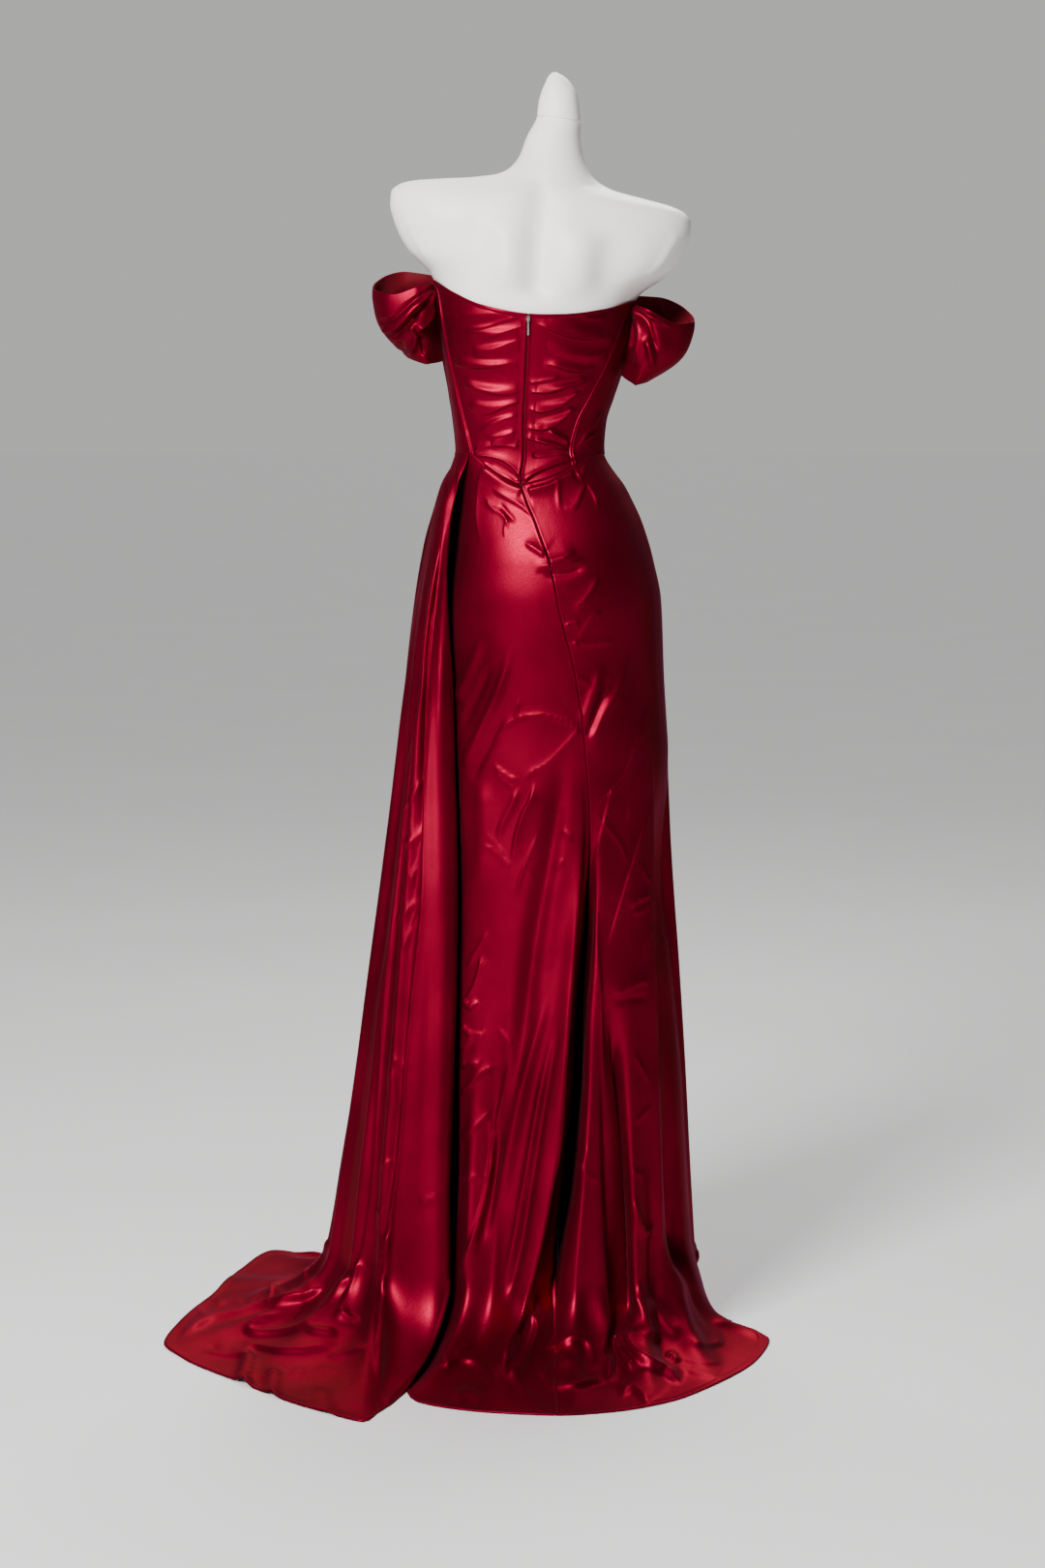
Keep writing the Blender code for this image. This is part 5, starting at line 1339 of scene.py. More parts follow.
@dataclass
class Finishes:
    """Every material of the scene, made once."""

    satin: bpy.types.Material = field(default_factory=lambda: SatinFinish().build())
    reverse: bpy.types.Material = field(default_factory=lambda: ReverseFinish().build())
    shell: bpy.types.Material = field(default_factory=lambda: ShellFinish().build())
    steel: bpy.types.Material = field(default_factory=lambda: MetalFinish("brushed_steel").build())
    pull: bpy.types.Material = field(
        default_factory=lambda: MetalFinish("zip_steel", (0.42, 0.40, 0.39)).build())


@dataclass(frozen=True)
class Cut:
    """The flat cloth a panel was cut from, how it is held and what it lies on."""

    width: float
    length: float
    held: str
    rests_on: tuple[str, ...]


class ClothPanel:
    """A panel of cloth laid on a grid of points, with its finish and its cut."""

    def __init__(self, name: str, points: Array, cut: Cut, wall: float = CLOTH_WALL) -> None:
        """Keep what the panel is made from.

        Args:
            name: The piece's name.
            points: Its outer face, rows from the bottom up and columns from the picture's left.
            cut: Its flat cut.
            wall: Its thickness.
        """
        self.name = name
        self.points = points
        self.cut = cut
        self.wall = wall

    def area(self) -> float:
        """The cloth's area, measured on the outer face."""
        across = np.diff(self.points, axis=1)[:-1]
        up = np.diff(self.points, axis=0)[:, :-1]
        return float(np.linalg.norm(np.cross(across, up), axis=2).sum())

    def mesh(self) -> bpy.types.Object:
        """Lay a flat grid on the points.

        Returns:
            The object, at the origin.
        """
        rows, columns = self.points.shape[0] - 1, self.points.shape[1] - 1
        bm = bmesh.new()
        bmesh.ops.create_grid(bm, x_segments=columns, y_segments=rows, size=0.5)
        weave = bm.loops.layers.uv.new("weave")
        for face in bm.faces:
            face.smooth = True
            for loop in face.loops:
                place = loop.vert.co
                loop[weave].uv = ((place.x + 0.5) * self.cut.width, (place.y + 0.5) * self.cut.length)
        for vert in bm.verts:
            row, column = round((vert.co.y + 0.5) * rows), round((vert.co.x + 0.5) * columns)
            vert.co = self.points[row, column]
        return linked(self.name, mesh_from(self.name, bm))

    def build(self, finishes: Finishes, replaced: str) -> bpy.types.Object:
        """Args:
            finishes: The scene's materials.
            replaced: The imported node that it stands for.

        Returns:
            The piece.
        """
        piece = self.mesh()
        piece.data.materials.append(finishes.satin)
        piece.data.materials.append(finishes.reverse)
        wall = wall_inwards(piece, self.wall)
        wall.material_offset = 1
        wall.material_offset_rim = 0
        declare(piece, replaced)
        area = self.area()
        list(self.cut.rests_on)
        LOG.info("%s: %.4f square metres of cloth", self.name, area)
        return piece


def constant(angle: float) -> Line:
    """A line at one angle at every height."""
    return lambda height: np.full(np.shape(height), angle)


def inset(line: Line, side: int, gap: float = SEAM / 2) -> Line:
    """A seam line moved aside by half the seam gap.

    Args:
        line: The seam's angle by height.
        side: 1 towards larger angles, -1 towards smaller.
        gap: How far it moves.

    Returns:
        The moved line.
    """
    def moved(height: Array) -> Array:
        """The moved seam's angle at each height."""
        spread = gap * (1 + FLOOR_SEAM_SPREAD * smooth((FLARE_START - height) / FLOOR_SEAM_BLEND))
        return line(height) + side * np.degrees(spread / SKIRT_CURVE.at(height)[..., 2])
    return moved


def seam_roll(distance: Array, roll: float = 0.0005) -> Array:
    """The groove at a seam and the soft roll beside it.

    Args:
        distance: Distance from the seam.
        roll: How high the roll stands.

    Returns:
        The lift at each place.
    """
    groove = GROOVE_DEPTH * bump(distance, GROOVE_WIDTH)
    return roll * bump(distance - SEAM_ROLL_PLACE, SEAM_ROLL_WIDTH) - groove


def raised(points: Array, lift: Array) -> Array:
    """Points moved along their outward normals."""
    return points + grid_normals(points) * lift[..., None]


def pinned(face: Array, points: Array, distance: Array, reach: float = 0.006) -> Array:
    """A raised face whose heights stay as they were along an edge, so that its seam stays shut.

    Args:
        face: The raised face.
        points: The plain face.
        distance: Distance from the edge.
        reach: How far the hold reaches.

    Returns:
        The pinned face.
    """
    held = 1.0 - smooth(distance / reach)
    face[..., 2] += (points[..., 2] - face[..., 2]) * held
    return face


def photo_relief(table: Sequence[Crease], points: Array, angle: Array) -> Array:
    """The creases seen in the photograph, on the half that faces the camera.

    Args:
        table: Creases with paths in the photograph's pixels.
        points: The surface.
        angle: Its angles round the body.

    Returns:
        The lift at each place.
    """
    facing = smooth((SEEN_LIMIT - np.abs(wrapped(angle))) / SEEN_BLEND)
    return relief(table, VIEW.pixels(points), 1.0 / VIEW.pixels_per_metre) * facing


def scaled(table: Sequence[Crease], across: float, up: float) -> list[Crease]:
    """Creases with their paths scaled to metres.

    Args:
        table: The creases.
        across: Metres in one unit of a path's first number.
        up: Metres in one unit of its second.

    Returns:
        The scaled creases.
    """
    return [crease._replace(path=tuple((a * across, b * up) for a, b in crease.path)) for crease in table]


def wrap_relief(table: Sequence[Crease], angle: Array, height: Array) -> Array:
    """The creases on the hidden sides.

    Args:
        table: Creases with paths in degrees and metres of height.
        angle: The surface's angles.
        height: Its heights.

    Returns:
        The lift at each place.
    """
    metre_per_degree = WRAP_RADIUS * math.pi / 180.0
    flat = scaled(table, metre_per_degree, 1.0)
    return relief(flat, np.stack((angle * metre_per_degree, height), axis=-1), 1.0)


@dataclass
class Bodice:
    """The corset bodice: seven panels with drag creases, seam rolls, a turned top edge and zip lips."""

    finishes: Finishes
    spacing: float = 0.0013
    plain_spacing: float = 0.0022
    rows: int = 190
    plain_rows: int = 110
    deepest: float = 0.0012
    turned_edge: float = 0.0055
    lip_roll: float = 0.0009
    piping: float = 0.0014
    under: float = 0.0014
    under_draw: float = 0.0009
    calm_seam: float = 0.0060
    calm_share: float = 0.15
    waist_roll: float = 0.0004
    edge_rise: float = 0.0008
    edge_blend: float = 0.0012
    edge_groove: float = 0.0005
    edge_groove_width: float = 0.0009
    under_start: float = 0.0004
    under_blend: float = 0.0008
    edge_crowd: float = 0.55
    first_height: float = 1.3
    settling_rounds: int = 5

    def places(self, high: Line, low: Line, columns: int, rows: int) -> tuple[Array, Array]:
        """Angles and heights of a panel's grid.

        Args:
            high: The seam at the larger angles.
            low: The seam at the smaller angles.
            columns: Pieces across.
            rows: Pieces up.

        Returns:
            The angles and the heights.
        """
        share = np.linspace(0.0, 1.0, columns + 1)[None, :]
        u = share - self.edge_crowd * np.sin(2 * np.pi * share) / (2 * np.pi)
        v = np.linspace(0.0, 1.0, rows + 1)[:, None]
        height = np.full((rows + 1, columns + 1), self.first_height)
        for _ in range(self.settling_rounds):
            angle = high(height) + (low(height) - high(height)) * u
            base = waist_height(wrapped(angle)) - self.under
            height = base + (TOP_CURVE.one(wrapped(angle)) - base) * v
        return angle, height

    def dressed(self, points: Array, angle: Array, height: Array, zip_side: int) -> Array:
        """Add creases and edge work to a panel's face.

        Args:
            points: The plain face.
            angle: Its angles.
            height: Its heights.
            zip_side: 1 where the zip runs along the last column, -1 along the first, else 0.

        Returns:
            The finished face.
        """
        from_left = run_lengths(points, 1)
        from_right = from_left[:, -1:] - from_left
        from_waist = run_lengths(points, 0)
        from_top = from_waist[-1:] - from_waist
        lift = photo_relief(BODICE_SEEN, points, angle) + wrap_relief(BODICE_WRAP, angle, height)
        lift *= self.calm_share + (1 - self.calm_share) * smooth(from_waist / self.calm_seam)
        lift += seam_roll(from_waist, self.waist_roll)
        lift = np.maximum(lift, -self.deepest)
        for side, distance in ((-1, from_left), (1, from_right)):
            lift += seam_roll(distance, self.lip_roll if side == zip_side else self.piping)
        lift += self.edge_rise * smooth((self.turned_edge - from_top) / self.edge_blend)
        lift -= self.edge_groove * bump(from_top - self.turned_edge, self.edge_groove_width)
        covered = 1.0 - smooth((from_waist - self.under + self.under_start) / self.under_blend)
        lift -= self.under_draw * covered
        return pinned(raised(points, lift), points, from_waist)

    def build(self) -> list[bpy.types.Object]:
        """Make the seven panels.

        Returns:
            The pieces.
        """
        half_slot = ZIP_SLOT / 2
        left_seam, right_seam, centre = SEAM_LEFT_CURVE.one, SEAM_RIGHT_CURVE.one, BACK_SEAM_CURVE.one
        side_left, side_right = constant(SIDE_LEFT), constant(SIDE_RIGHT)
        front_left, front_right = constant(FRONT_LEFT), constant(FRONT_RIGHT)
        round_right = constant(360 + FRONT_RIGHT)
        panels = (
            ("back_left", inset(left_seam, -1), inset(centre, 1, half_slot), 1, 0.120, 0.275),
            ("back_right", inset(centre, -1, half_slot), inset(right_seam, 1), -1, 0.130, 0.265),
            ("side_back_left", inset(side_left, -1), inset(left_seam, 1), 0, 0.090, 0.240),
            ("side_back_right", inset(right_seam, -1), inset(side_right, 1), 0, 0.115, 0.250),
            ("side_front_left", inset(front_left, -1), inset(side_left, 1), 0, 0.130, 0.255),
            ("side_front_right", inset(side_right, -1), inset(front_right, 1), 0, 0.135, 0.255),
            ("centre_front", inset(round_right, -1), inset(front_left, 1), 0, 0.165, 0.270),
        )
        pieces = []
        for panel, high, low, zip_side, width, length in panels:
            node = f"bodice_{panel}"
            fine = zip_side != 0
            columns = round(width / (self.spacing if fine else self.plain_spacing))
            angle, height = self.places(high, low, columns, self.rows if fine else self.plain_rows)
            face = self.dressed(bodice_point(angle, height), angle, height, zip_side)
            cut = Cut(width, length, "stretched", ("form_torso",))
            pieces.append(ClothPanel(f"satin_{node}", face, cut).build(self.finishes, node))
        return pieces


@dataclass
class Skirt:
    """The long skirt: two backs that meet in the deep fold, and the front."""

    finishes: Finishes
    rows: int = 400
    plain_rows: int = 260
    waist_room: float = 0.0012
    hip_room: float = 0.0400
    calm_waist: float = 1.17
    calm_seam: float = 0.0090
    calm_share: float = 0.12
    hem_share: float = 0.27
    hem_depth: float = 0.014
    hem_rise: float = 0.0007
    hem_blend: float = 0.002
    hem_groove: float = 0.0005
    hem_groove_width: float = 0.0014
    crowd: float = 1.12
    floor_crowd: float = 0.9
    room_blend: float = 0.12
    waist_roll: float = 0.0002
    waist_draw: float = 0.9
    waist_hold: float = 0.014
    seam_roll_height: float = 0.0004
    unzipped_share: float = 0.35
    zip_blend: float = 0.01
    parting_blend: float = 0.02
    floor_gap: float = 0.0004
    first_height: float = 0.5
    settling_rounds: int = 6

    def levels(self, angle: Array, v: Array) -> Array:
        """Heights of the rows, from the hem up to the waist seam.

        Args:
            angle: Angles round the body.
            v: Shares up the panel.

        Returns:
            Heights, which run below zero along the floor.
        """
        floor = 1 - np.clip(v / self.hem_share, 0.0, 1.0)
        hang = 1 - np.clip((v - self.hem_share) / (1 - self.hem_share), 0.0, 1.0)
        top = waist_height(wrapped(angle)) - SEAM
        hanging = top - (top - FLARE_START) * hang ** self.crowd
        lying = FLARE_START - (FLARE_START + 1.0) * floor ** self.floor_crowd
        return np.where(v < self.hem_share, lying, hanging)

    def places(self, high: Line, low: Line, columns: int, rows: int,
               lean: float) -> tuple[Array, Array]:
        """Angles and heights of a panel's grid.

        Args:
            high: The edge at the larger angles.
            low: The edge at the smaller angles.
            columns: Pieces across.
            rows: Pieces up.
            lean: The share of the columns that lies in the first half of the width.

        Returns:
            The angles and the heights.
        """
        even = np.linspace(0.0, 1.0, columns + 1)
        u = np.interp(even, (0.0, lean, 1.0), (0.0, 0.5, 1.0))[None, :]
        v = np.linspace(0.0, 1.0, rows + 1)[:, None] * np.ones_like(u)
        height = np.full(v.shape, self.first_height)
        for _ in range(self.settling_rounds):
            level = np.maximum(height, 0.0)
            angle = high(level) + (low(level) - high(level)) * u
            height = self.levels(angle, v)
        return angle, height

    def dressed(self, points: Array, lift: Array, seams: tuple[bool, bool]) -> Array:
        """Add creases, seam rolls and the turned hem to a face.

        Args:
            points: The plain face.
            lift: The lift of its creases.
            seams: Whether the first and the last column lie in a seam.

        Returns:
            The finished face, clear of the floor.
        """
        from_left = run_lengths(points, 1)
        from_right = from_left[:, -1:] - from_left
        from_hem = run_lengths(points, 0)
        from_waist = from_hem[-1:] - from_hem
        height = points[..., 2]
        lift = lift * (self.calm_share + (1 - self.calm_share) * smooth(from_waist / self.calm_seam))
        lift = lift + seam_roll(from_waist, self.waist_roll)
        room = self.waist_room + self.hip_room * smooth((self.calm_waist - height) / self.room_blend)
        lift = np.maximum(lift, -room)
        eased = self.waist_draw * HIP_EASE * np.clip((WAIST - height) / HIP_EASE_DEPTH, 0.0, 1.0)
        lift = lift - eased * (1.0 - smooth(from_waist / self.waist_hold))
        zipped = smooth((height - ZIP_END) / self.zip_blend)
        strength = self.unzipped_share + (1 - self.unzipped_share) * zipped
        for sewn, distance in zip(seams, (from_left, from_right)):
            if sewn:
                lift = lift + seam_roll(distance, self.seam_roll_height) * strength
        lift = lift + self.hem_rise * smooth((self.hem_depth - from_hem) / self.hem_blend)
        lift = lift - self.hem_groove * bump(from_hem - self.hem_depth, self.hem_groove_width)
        face = pinned(raised(points, lift), points, from_waist)
        face[..., 2] = np.maximum(face[..., 2], CLOTH_WALL + self.floor_gap)
        return face

    def back_edge(self, side: int) -> Line:
        """The back seam's edge, which parts a little for the zip.

        Args:
            side: 1 for the left back, -1 for the right.

        Returns:
            The edge's angle by height.
        """
        def edge(height: Array) -> Array:
            """The edge's angle at each height."""
            parted = smooth((height - ZIP_END + self.parting_blend) / self.parting_blend)
            gap = SEAM / 2 + (SKIRT_SLOT / 2 - SEAM / 2) * parted
            return SKIRT_SEAM_CURVE.one(height) + side * np.degrees(gap / SKIRT_CURVE.at(height)[..., 2])
        return edge

    def build(self) -> list[bpy.types.Object]:
        """Make the three panels.

        Returns:
            The pieces.
        """
        side_left, side_right = constant(SIDE_LEFT), constant(SIDE_RIGHT)
        round_right = constant(360 + SIDE_RIGHT)
        panels = (
            ("back_left", inset(side_left, -1), self.back_edge(1), 118, self.rows, 0.20, 0.50, 1.66),
            ("back_right", self.back_edge(-1), inset(side_right, 1), 118, self.rows, 0.55, 0.62, 1.66),
            ("front", inset(round_right, -1), inset(side_left, 1), 84, self.plain_rows, 0.5, 0.62, 1.36),
        )
        pieces = []
        for panel, high, low, columns, rows, lean, width, length in panels:
            node = f"skirt_{panel}"
            angle, height = self.places(high, low, columns, rows, lean)
            points = skirt_point(angle, height)
            lift = photo_relief(SKIRT_SEEN, points, angle) + wrap_relief(SKIRT_WRAP, angle, height)
            face = self.dressed(points, lift, (True, True))
            cut = Cut(width, length, "draped", ("form_torso", "form_base"))
            pieces.append(ClothPanel(f"satin_{node}", face, cut).build(self.finishes, node))
        return pieces


@dataclass
class SideDrape(Skirt):
    """The pleated overskirt that falls from the left waist into a pointed train."""

    columns: int = 148
    rows: int = 326
    lean: float = 0.38
    waist_tuck: float = 0.020
    waist_layer: float = 0.0022
    inner_swell: float = -0.05

    def build(self) -> list[bpy.types.Object]:
        """Make the drape.

        Returns:
            The one piece.
        """
        front, back = constant(DRAPE_FRONT), DRAPE_EDGE_CURVE.one
        angle, height = self.places(front, back, self.columns, self.rows, self.lean)
        points = drape_point(angle, height)
        below_waist = run_lengths(points, 0)
        below_waist = below_waist[-1:] - below_waist
        sewn = (1.0 - smooth(below_waist / self.waist_tuck))[..., None]
        under = skirt_point(angle, height)
        outward = under - section_point(FORM_CURVE, angle, height, self.inner_swell)
        outward = outward / np.linalg.norm(outward, axis=2, keepdims=True)
        points = points * (1 - sewn) + (under + outward * self.waist_layer) * sewn
        lift = photo_relief(DRAPE_SEEN, points, angle) + wrap_relief(DRAPE_WRAP, angle, height)
        face = self.dressed(points, lift, (False, False))
        cut = Cut(0.98, 1.72, "draped", ("satin_skirt_back_left", "satin_skirt_front"))
        return [ClothPanel("satin_side_drape", face, cut).build(self.finishes, "side_drape")]


@dataclass
class Sleeve:
    """An off-shoulder puff gathered into one point at the back of the bodice."""

    finishes: Finishes
    side: int
    centre: float = 0.025
    tilt: float = 0.10
    back_angle: float = 78.0
    front_angle: float = 128.0
    puff: float = 0.015
    far_rim: float = 0.010
    seat: float = CLOTH + 0.0006
    seat_share: float = 0.2
    draw_in_left: float = 0.008
    draw_in_right: float = 0.024
    round_length: float = 0.24
    drop: float = 0.10
    fan_start: float = 0.004
    fan_waves: float = 12.0
    out_tip: float = -0.1
    wall: float = 0.0012
    columns: int = 130
    rows: int = 90

    def point(self, u: Array, v: Array) -> Array:
        """The sleeve's plain outer face.

        Args:
            u: Share from the back edge round the outside to the front edge.
            v: Share from the open top down to the lower edge.

        Returns:
            The points.
        """
        top, bottom = SLEEVE_TOP_CURVE.at(u), SLEEVE_BOTTOM_CURVE.at(u)
        deepest = self.draw_in_left if self.side > 0 else self.draw_in_right
        draw_in = deepest * np.sin(np.pi * u) ** 2 * v ** 1.5
        top[..., 2] += self.far_rim * np.sin(np.pi * np.clip((u - 0.5) / 0.5, 0.0, 1.0))
        point = top + (bottom - top) * v[..., None]
        point[..., 0] -= draw_in
        tip = np.full(u.shape, self.out_tip)
        out = np.stack((np.sin(np.pi * u), np.cos(np.pi * u), tip), axis=-1)
        fan = np.arctan2(v * self.drop, u * self.round_length + self.fan_start)
        reach = smooth((u * 2.4) ** 2 + v * v * 1.4) * smooth((1.0 - u) * 3.0)
        calm = 0.08 + 0.22 * smooth((u - 0.45) / 0.15)
        fold = calm * self.puff * reach * np.cos(fan * self.fan_waves) * (0.35 + 0.65 * (1 - u))
        swell = self.puff * np.sin(np.pi * v) * np.sin(np.pi * u) ** 0.5 + fold
        point = point + out * swell[..., None]
        x = point[..., 0]
        place = np.stack((self.centre + self.side * x, point[..., 1],
                          point[..., 2] + self.tilt * self.side * x), axis=-1)
        for share, angle in ((u, self.back_angle), (1 - u, self.front_angle)):
            near = (1.0 - smooth(share / self.seat_share))[..., None]
            height = top[..., 2] + (bottom[..., 2] - top[..., 2]) * v
            turned = np.full(u.shape, self.side * angle)
            grown = CLOTH_OUT + FRONT_EASE * front_share(turned) + self.seat
            place = place * (1 - near) + section_point(FORM_CURVE, turned, height, grown) * near
        return place

    def build(self) -> bpy.types.Object:
        """Make the sleeve.

        Returns:
            The piece.
        """
        share = np.linspace(0.0, 1.0, self.columns + 1)[None, :]
        v = (1.0 - np.linspace(0.0, 1.0, self.rows + 1))[:, None] * np.ones_like(share)
        u = (1.0 - share if self.side > 0 else share) * np.ones_like(v)
        points = self.point(u, v)
        seen = SLEEVE_LEFT_SEEN if self.side > 0 else SLEEVE_RIGHT_SEEN
        back = smooth((0.56 - u) / 0.10)
        lift = relief(seen, VIEW.pixels(points), 1.0 / VIEW.pixels_per_metre) * back
        spread = np.stack((u * self.round_length, v * self.drop), axis=-1)
        lift += relief(scaled(SLEEVE_WRAP, self.round_length, self.drop), spread, 1.0)
        rims = 0.25 + 0.75 * smooth(np.minimum(v, 1 - v) / 0.16)
        seated = smooth(np.minimum(u, 1 - u) / 0.10) * rims
        face = raised(points, lift * seated)
        hand = "left" if self.side > 0 else "right"
        rests_on = (f"satin_bodice_side_back_{hand}", f"satin_bodice_side_front_{hand}")
        cut = Cut(0.34, 0.16, "gathered", rests_on)
        panel = ClothPanel(f"satin_sleeve_{hand}", face, cut, self.wall)
        return panel.build(self.finishes, f"sleeve_{hand}")


@dataclass
class BackZip:
    """The concealed zip: its coil down in the slot, and the steel slider and pull."""

    finishes: Finishes
    width: float = 0.0044
    length: float = 0.33
    wall: float = 0.0006
    sink: float = 0.0018
    top_read: float = 1.39
    top_gap: float = 0.001
    tooth_pitch: float = 0.0016
    tooth_rise: float = 0.0003
    tooth_place: float = 0.0005
    tooth_width: float = 0.0005
    columns: int = 6
    rows: int = 560

    def coil(self) -> bpy.types.Object:
        """Make the coil.

        Returns:
            The piece.
        """
        top = float(TOP_CURVE.one(zip_line(np.array(self.top_read)))) - self.top_gap
        across = (0.5 - np.linspace(0.0, 1.0, self.columns + 1))[None, :] * self.width
        height = np.linspace(ZIP_END, top, self.rows + 1)[:, None] * np.ones_like(across)
        angle = zip_line(height) + np.degrees(across / SKIRT_CURVE.at(height)[..., 2])
        points = zip_point(angle, height)
        wave = np.sin(height * 2 * np.pi / self.tooth_pitch + np.sign(across) * np.pi / 2)
        teeth = bump(np.abs(across) - self.tooth_place, self.tooth_width)
        points = raised(points, -self.sink + self.tooth_rise * wave * teeth)
        coil = ClothPanel("zip_coil_teeth", points, Cut(self.width, self.length, "stretched", ())).mesh()
        coil.data.materials.append(self.finishes.reverse)
        wall_inwards(coil, self.wall)
        declare(coil, "zip_coil")
        return coil

    def build(self, nodes: dict[str, bpy.types.Object]) -> None:
        """Make the coil and finish the slider and pull.

        Args:
            nodes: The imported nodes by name.
        """
        self.coil()
        for name in ("zip_slider", "zip_pull"):
            refinish(nodes[name], self.finishes.pull)


@dataclass
class DressForm:
    """The white limbless form: torso with neck, ringed neck cap, pole and base plate."""

    finishes: Finishes
    torso_segments: int = 132
    plain_levels: int = 80
    seen_levels: int = 120
    seen_from: float = 1.40
    cap_segments: int = 96
    cap_levels: int = 40
    cap_top: float = 1.715
    cap_crowd: float = 0.8
    ring_rise: float = 0.03
    ring_width: float = 0.0022

    def lofted(self, segments: int, levels: Array) -> bmesh.types.BMesh:
        """A closed solid through level outlines.

        Args:
            segments: Pieces round it.
            levels: Its heights, from the bottom.

        Returns:
            The shape.
        """
        bm = bmesh.new()
        bmesh.ops.create_cone(bm, cap_ends=True, segments=segments, radius1=1, radius2=1, depth=1)
        upright = [edge for edge in bm.edges if abs(edge.verts[0].co.z - edge.verts[1].co.z) > 0.5]
        bmesh.ops.subdivide_edges(bm, edges=upright, cuts=len(levels) - 2, use_grid_fill=True)
        angle = np.array([math.degrees(math.atan2(vert.co.x, vert.co.y)) for vert in bm.verts])
        level = np.array([levels[round((vert.co.z + 0.5) * (len(levels) - 1))] for vert in bm.verts])
        points = section_point(FORM_CURVE, angle, level)
        facing = smooth((100.0 - np.abs(angle)) / 20.0) * smooth((level - self.seen_from) / 0.03)
        lift = relief(FORM_SEEN, VIEW.pixels(points), 1.0 / VIEW.pixels_per_metre) * facing
        turn = np.radians(angle)
        outward = np.stack((np.sin(turn), np.cos(turn), np.zeros(len(angle))), axis=-1)
        points = points + outward * lift[:, None]
        for vert, point in zip(bm.verts, points):
            vert.co = point
        for face in bm.faces:
            face.smooth = True
        return bm

    def shell(self, name: str, bm: bmesh.types.BMesh, replaced: str) -> None:
        """Turn a shape into a white piece of the form.

        Args:
            name: The piece's name.
            bm: Its shape, in place.
            replaced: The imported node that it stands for.
        """
        piece = linked(name, mesh_from(name, bm))
        piece.data.materials.append(self.finishes.shell)
        declare(piece, replaced)
        LOG.info("%s built", name)

    def build(self, nodes: dict[str, bpy.types.Object]) -> None:
        """Make the shell and cap, and finish the pole and plate.

        Args:
            nodes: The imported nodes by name.
        """
        low = np.linspace(FORM_BOTTOM, self.seen_from, self.plain_levels, endpoint=False)
        high = np.linspace(self.seen_from, NECK_RING, self.seen_levels)
        torso = self.lofted(self.torso_segments, np.concatenate((low, high)))
        self.shell("form_torso_shell", torso, "form_torso")
        rise = np.linspace(0.0, 1.0, self.cap_levels) ** self.cap_crowd
        levels = NECK_RING + SEAM + (self.cap_top - NECK_RING) * rise
        cap = self.lofted(self.cap_segments, levels)
        top_z = float(levels[-1])
        for vert in cap.verts:
            past = (vert.co.z - NECK_RING) / self.ring_width
            ring = 1.0 + self.ring_rise * math.exp(-past ** 2)
            centre = FORM_CURVE.at(min(vert.co.z, top_z))
            vert.co.x = centre[0] + (vert.co.x - centre[0]) * ring
            vert.co.y = centre[1] + (vert.co.y - centre[1]) * ring
        self.shell("form_neck_cap_shell", cap, "form_neck_cap")
        for name in ("form_pole", "form_base"):
            refinish(nodes[name], self.finishes.steel)


@dataclass(frozen=True)
class SoftBox:
    """A large soft studio light."""

    name: str
    place: tuple[float, float, float]
    aim: tuple[float, float, float]
    size: tuple[float, float]
    power: float

    def build(self) -> bpy.types.Object:
        """Make the light."""
        data = bpy.data.lights.new(self.name, "AREA")
        data.shape = "RECTANGLE"
        data.size, data.size_y = self.size
        data.energy = self.power
        light = linked(self.name, data)
        light.location = self.place
        towards = Vector(self.aim) - Vector(self.place)
        light.rotation_euler = towards.to_track_quat("-Z", "Y").to_euler()
        return light


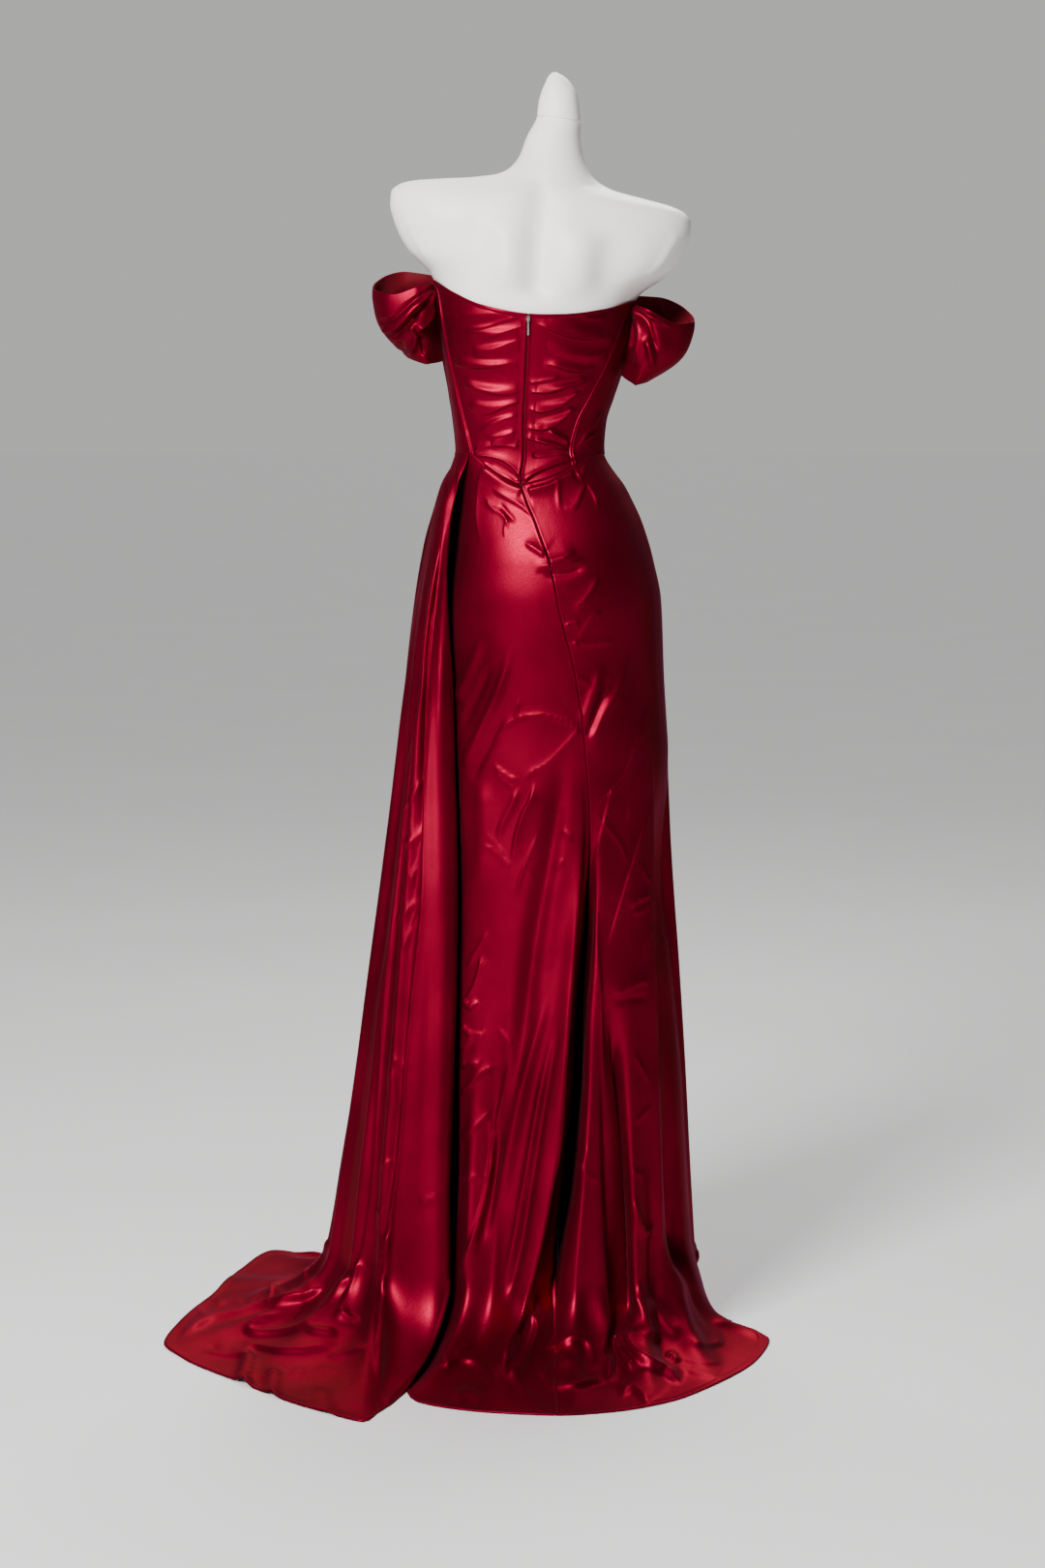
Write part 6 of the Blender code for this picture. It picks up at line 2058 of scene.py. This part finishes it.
@dataclass
class Studio:
    """A plain pale floor, soft lights and a pale surround."""

    floor_half: float = 60.0
    floor_tone: Tone = (0.69, 0.68, 0.67)
    floor_darkest: float = 0.97
    floor_roughness: float = 0.7
    floor_mottle: float = 2.0
    lights: tuple[SoftBox, ...] = (
        SoftBox("key", (1.6, 2.9, 3.1), (0.0, 0.0, 0.9), (1.1, 0.9), 340.0),
        SoftBox("front_fill", (-0.9, -2.5, 3.6), (0.0, 0.0, 0.9), (1.2, 1.2), 70.0),
        SoftBox("low_fill", (2.0, 3.8, 0.9), (0.0, 0.1, 0.4), (0.5, 1.2), 22.0),
    )
    overhead_strength: float = 2.15
    overhead_spread: float = 55.0
    overhead_lean: float = 40.0
    surround_light: tuple[Tint, float] = ((0.80, 0.80, 0.82, 1.0), 0.08)
    surround_seen: tuple[Tint, float] = ((0.80, 0.79, 0.78, 1.0), 0.63)

    def floor(self) -> bpy.types.Object:
        """Make the floor.

        Returns:
            The floor, which is not part of the object.
        """
        bm = bmesh.new()
        bmesh.ops.create_grid(bm, x_segments=4, y_segments=4, size=self.floor_half)
        floor = linked("studio_floor", mesh_from("studio_floor", bm))
        board = NodeBoard("pale_floor")
        board.fix({"Roughness": self.floor_roughness})
        darker = tuple(value * self.floor_darkest for value in self.floor_tone)
        board.tint(board.noise("Object", self.floor_mottle, 2.0), darker, self.floor_tone)
        floor.data.materials.append(board.material)
        return floor

    def overhead(self) -> None:
        """Make the even light from above that keeps the whole floor pale."""
        data = bpy.data.lights.new("overhead", "SUN")
        data.energy = self.overhead_strength
        data.angle = math.radians(self.overhead_spread)
        light = linked("overhead", data)
        light.location = (0.0, 0.0, 5.0)
        light.rotation_euler = (math.radians(self.overhead_lean), 0.0, 0.0)

    def surround(self) -> None:
        """Make the pale surround, dimmer as a light than it looks."""
        world = bpy.data.worlds.new("pale_surround")
        world.use_nodes = True
        tree = world.node_tree
        light = tree.nodes["Background"]
        seen = tree.nodes.new("ShaderNodeBackground")
        for node, (tone, strength) in ((light, self.surround_light), (seen, self.surround_seen)):
            node.inputs["Color"].default_value = tone
            node.inputs["Strength"].default_value = strength
        path = tree.nodes.new("ShaderNodeLightPath")
        mix = tree.nodes.new("ShaderNodeMixShader")
        tree.links.new(path.outputs["Is Camera Ray"], mix.inputs["Fac"])
        tree.links.new(light.outputs["Background"], mix.inputs[1])
        tree.links.new(seen.outputs["Background"], mix.inputs[2])
        tree.links.new(mix.outputs["Shader"], tree.nodes["World Output"].inputs["Surface"])
        bpy.context.scene.world = world

    def build(self) -> None:
        """Make the whole studio."""
        self.floor()
        self.overhead()
        self.surround()
        for light in self.lights:
            light.build()


def main() -> None:
    """Build the gown on its form, and the studio round it."""
    logging.basicConfig(level=logging.INFO, format="%(name)s: %(message)s")
    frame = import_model()
    VIEW.build()
    Studio().build()
    finishes = Finishes()
    DressForm(finishes).build(frame["nodes"])
    Bodice(finishes).build()
    Skirt(finishes).build()
    SideDrape(finishes).build()
    for side in (1, -1):
        Sleeve(finishes, side).build()
    BackZip(finishes).build(frame["nodes"])


if __name__ == "__main__":
    main()
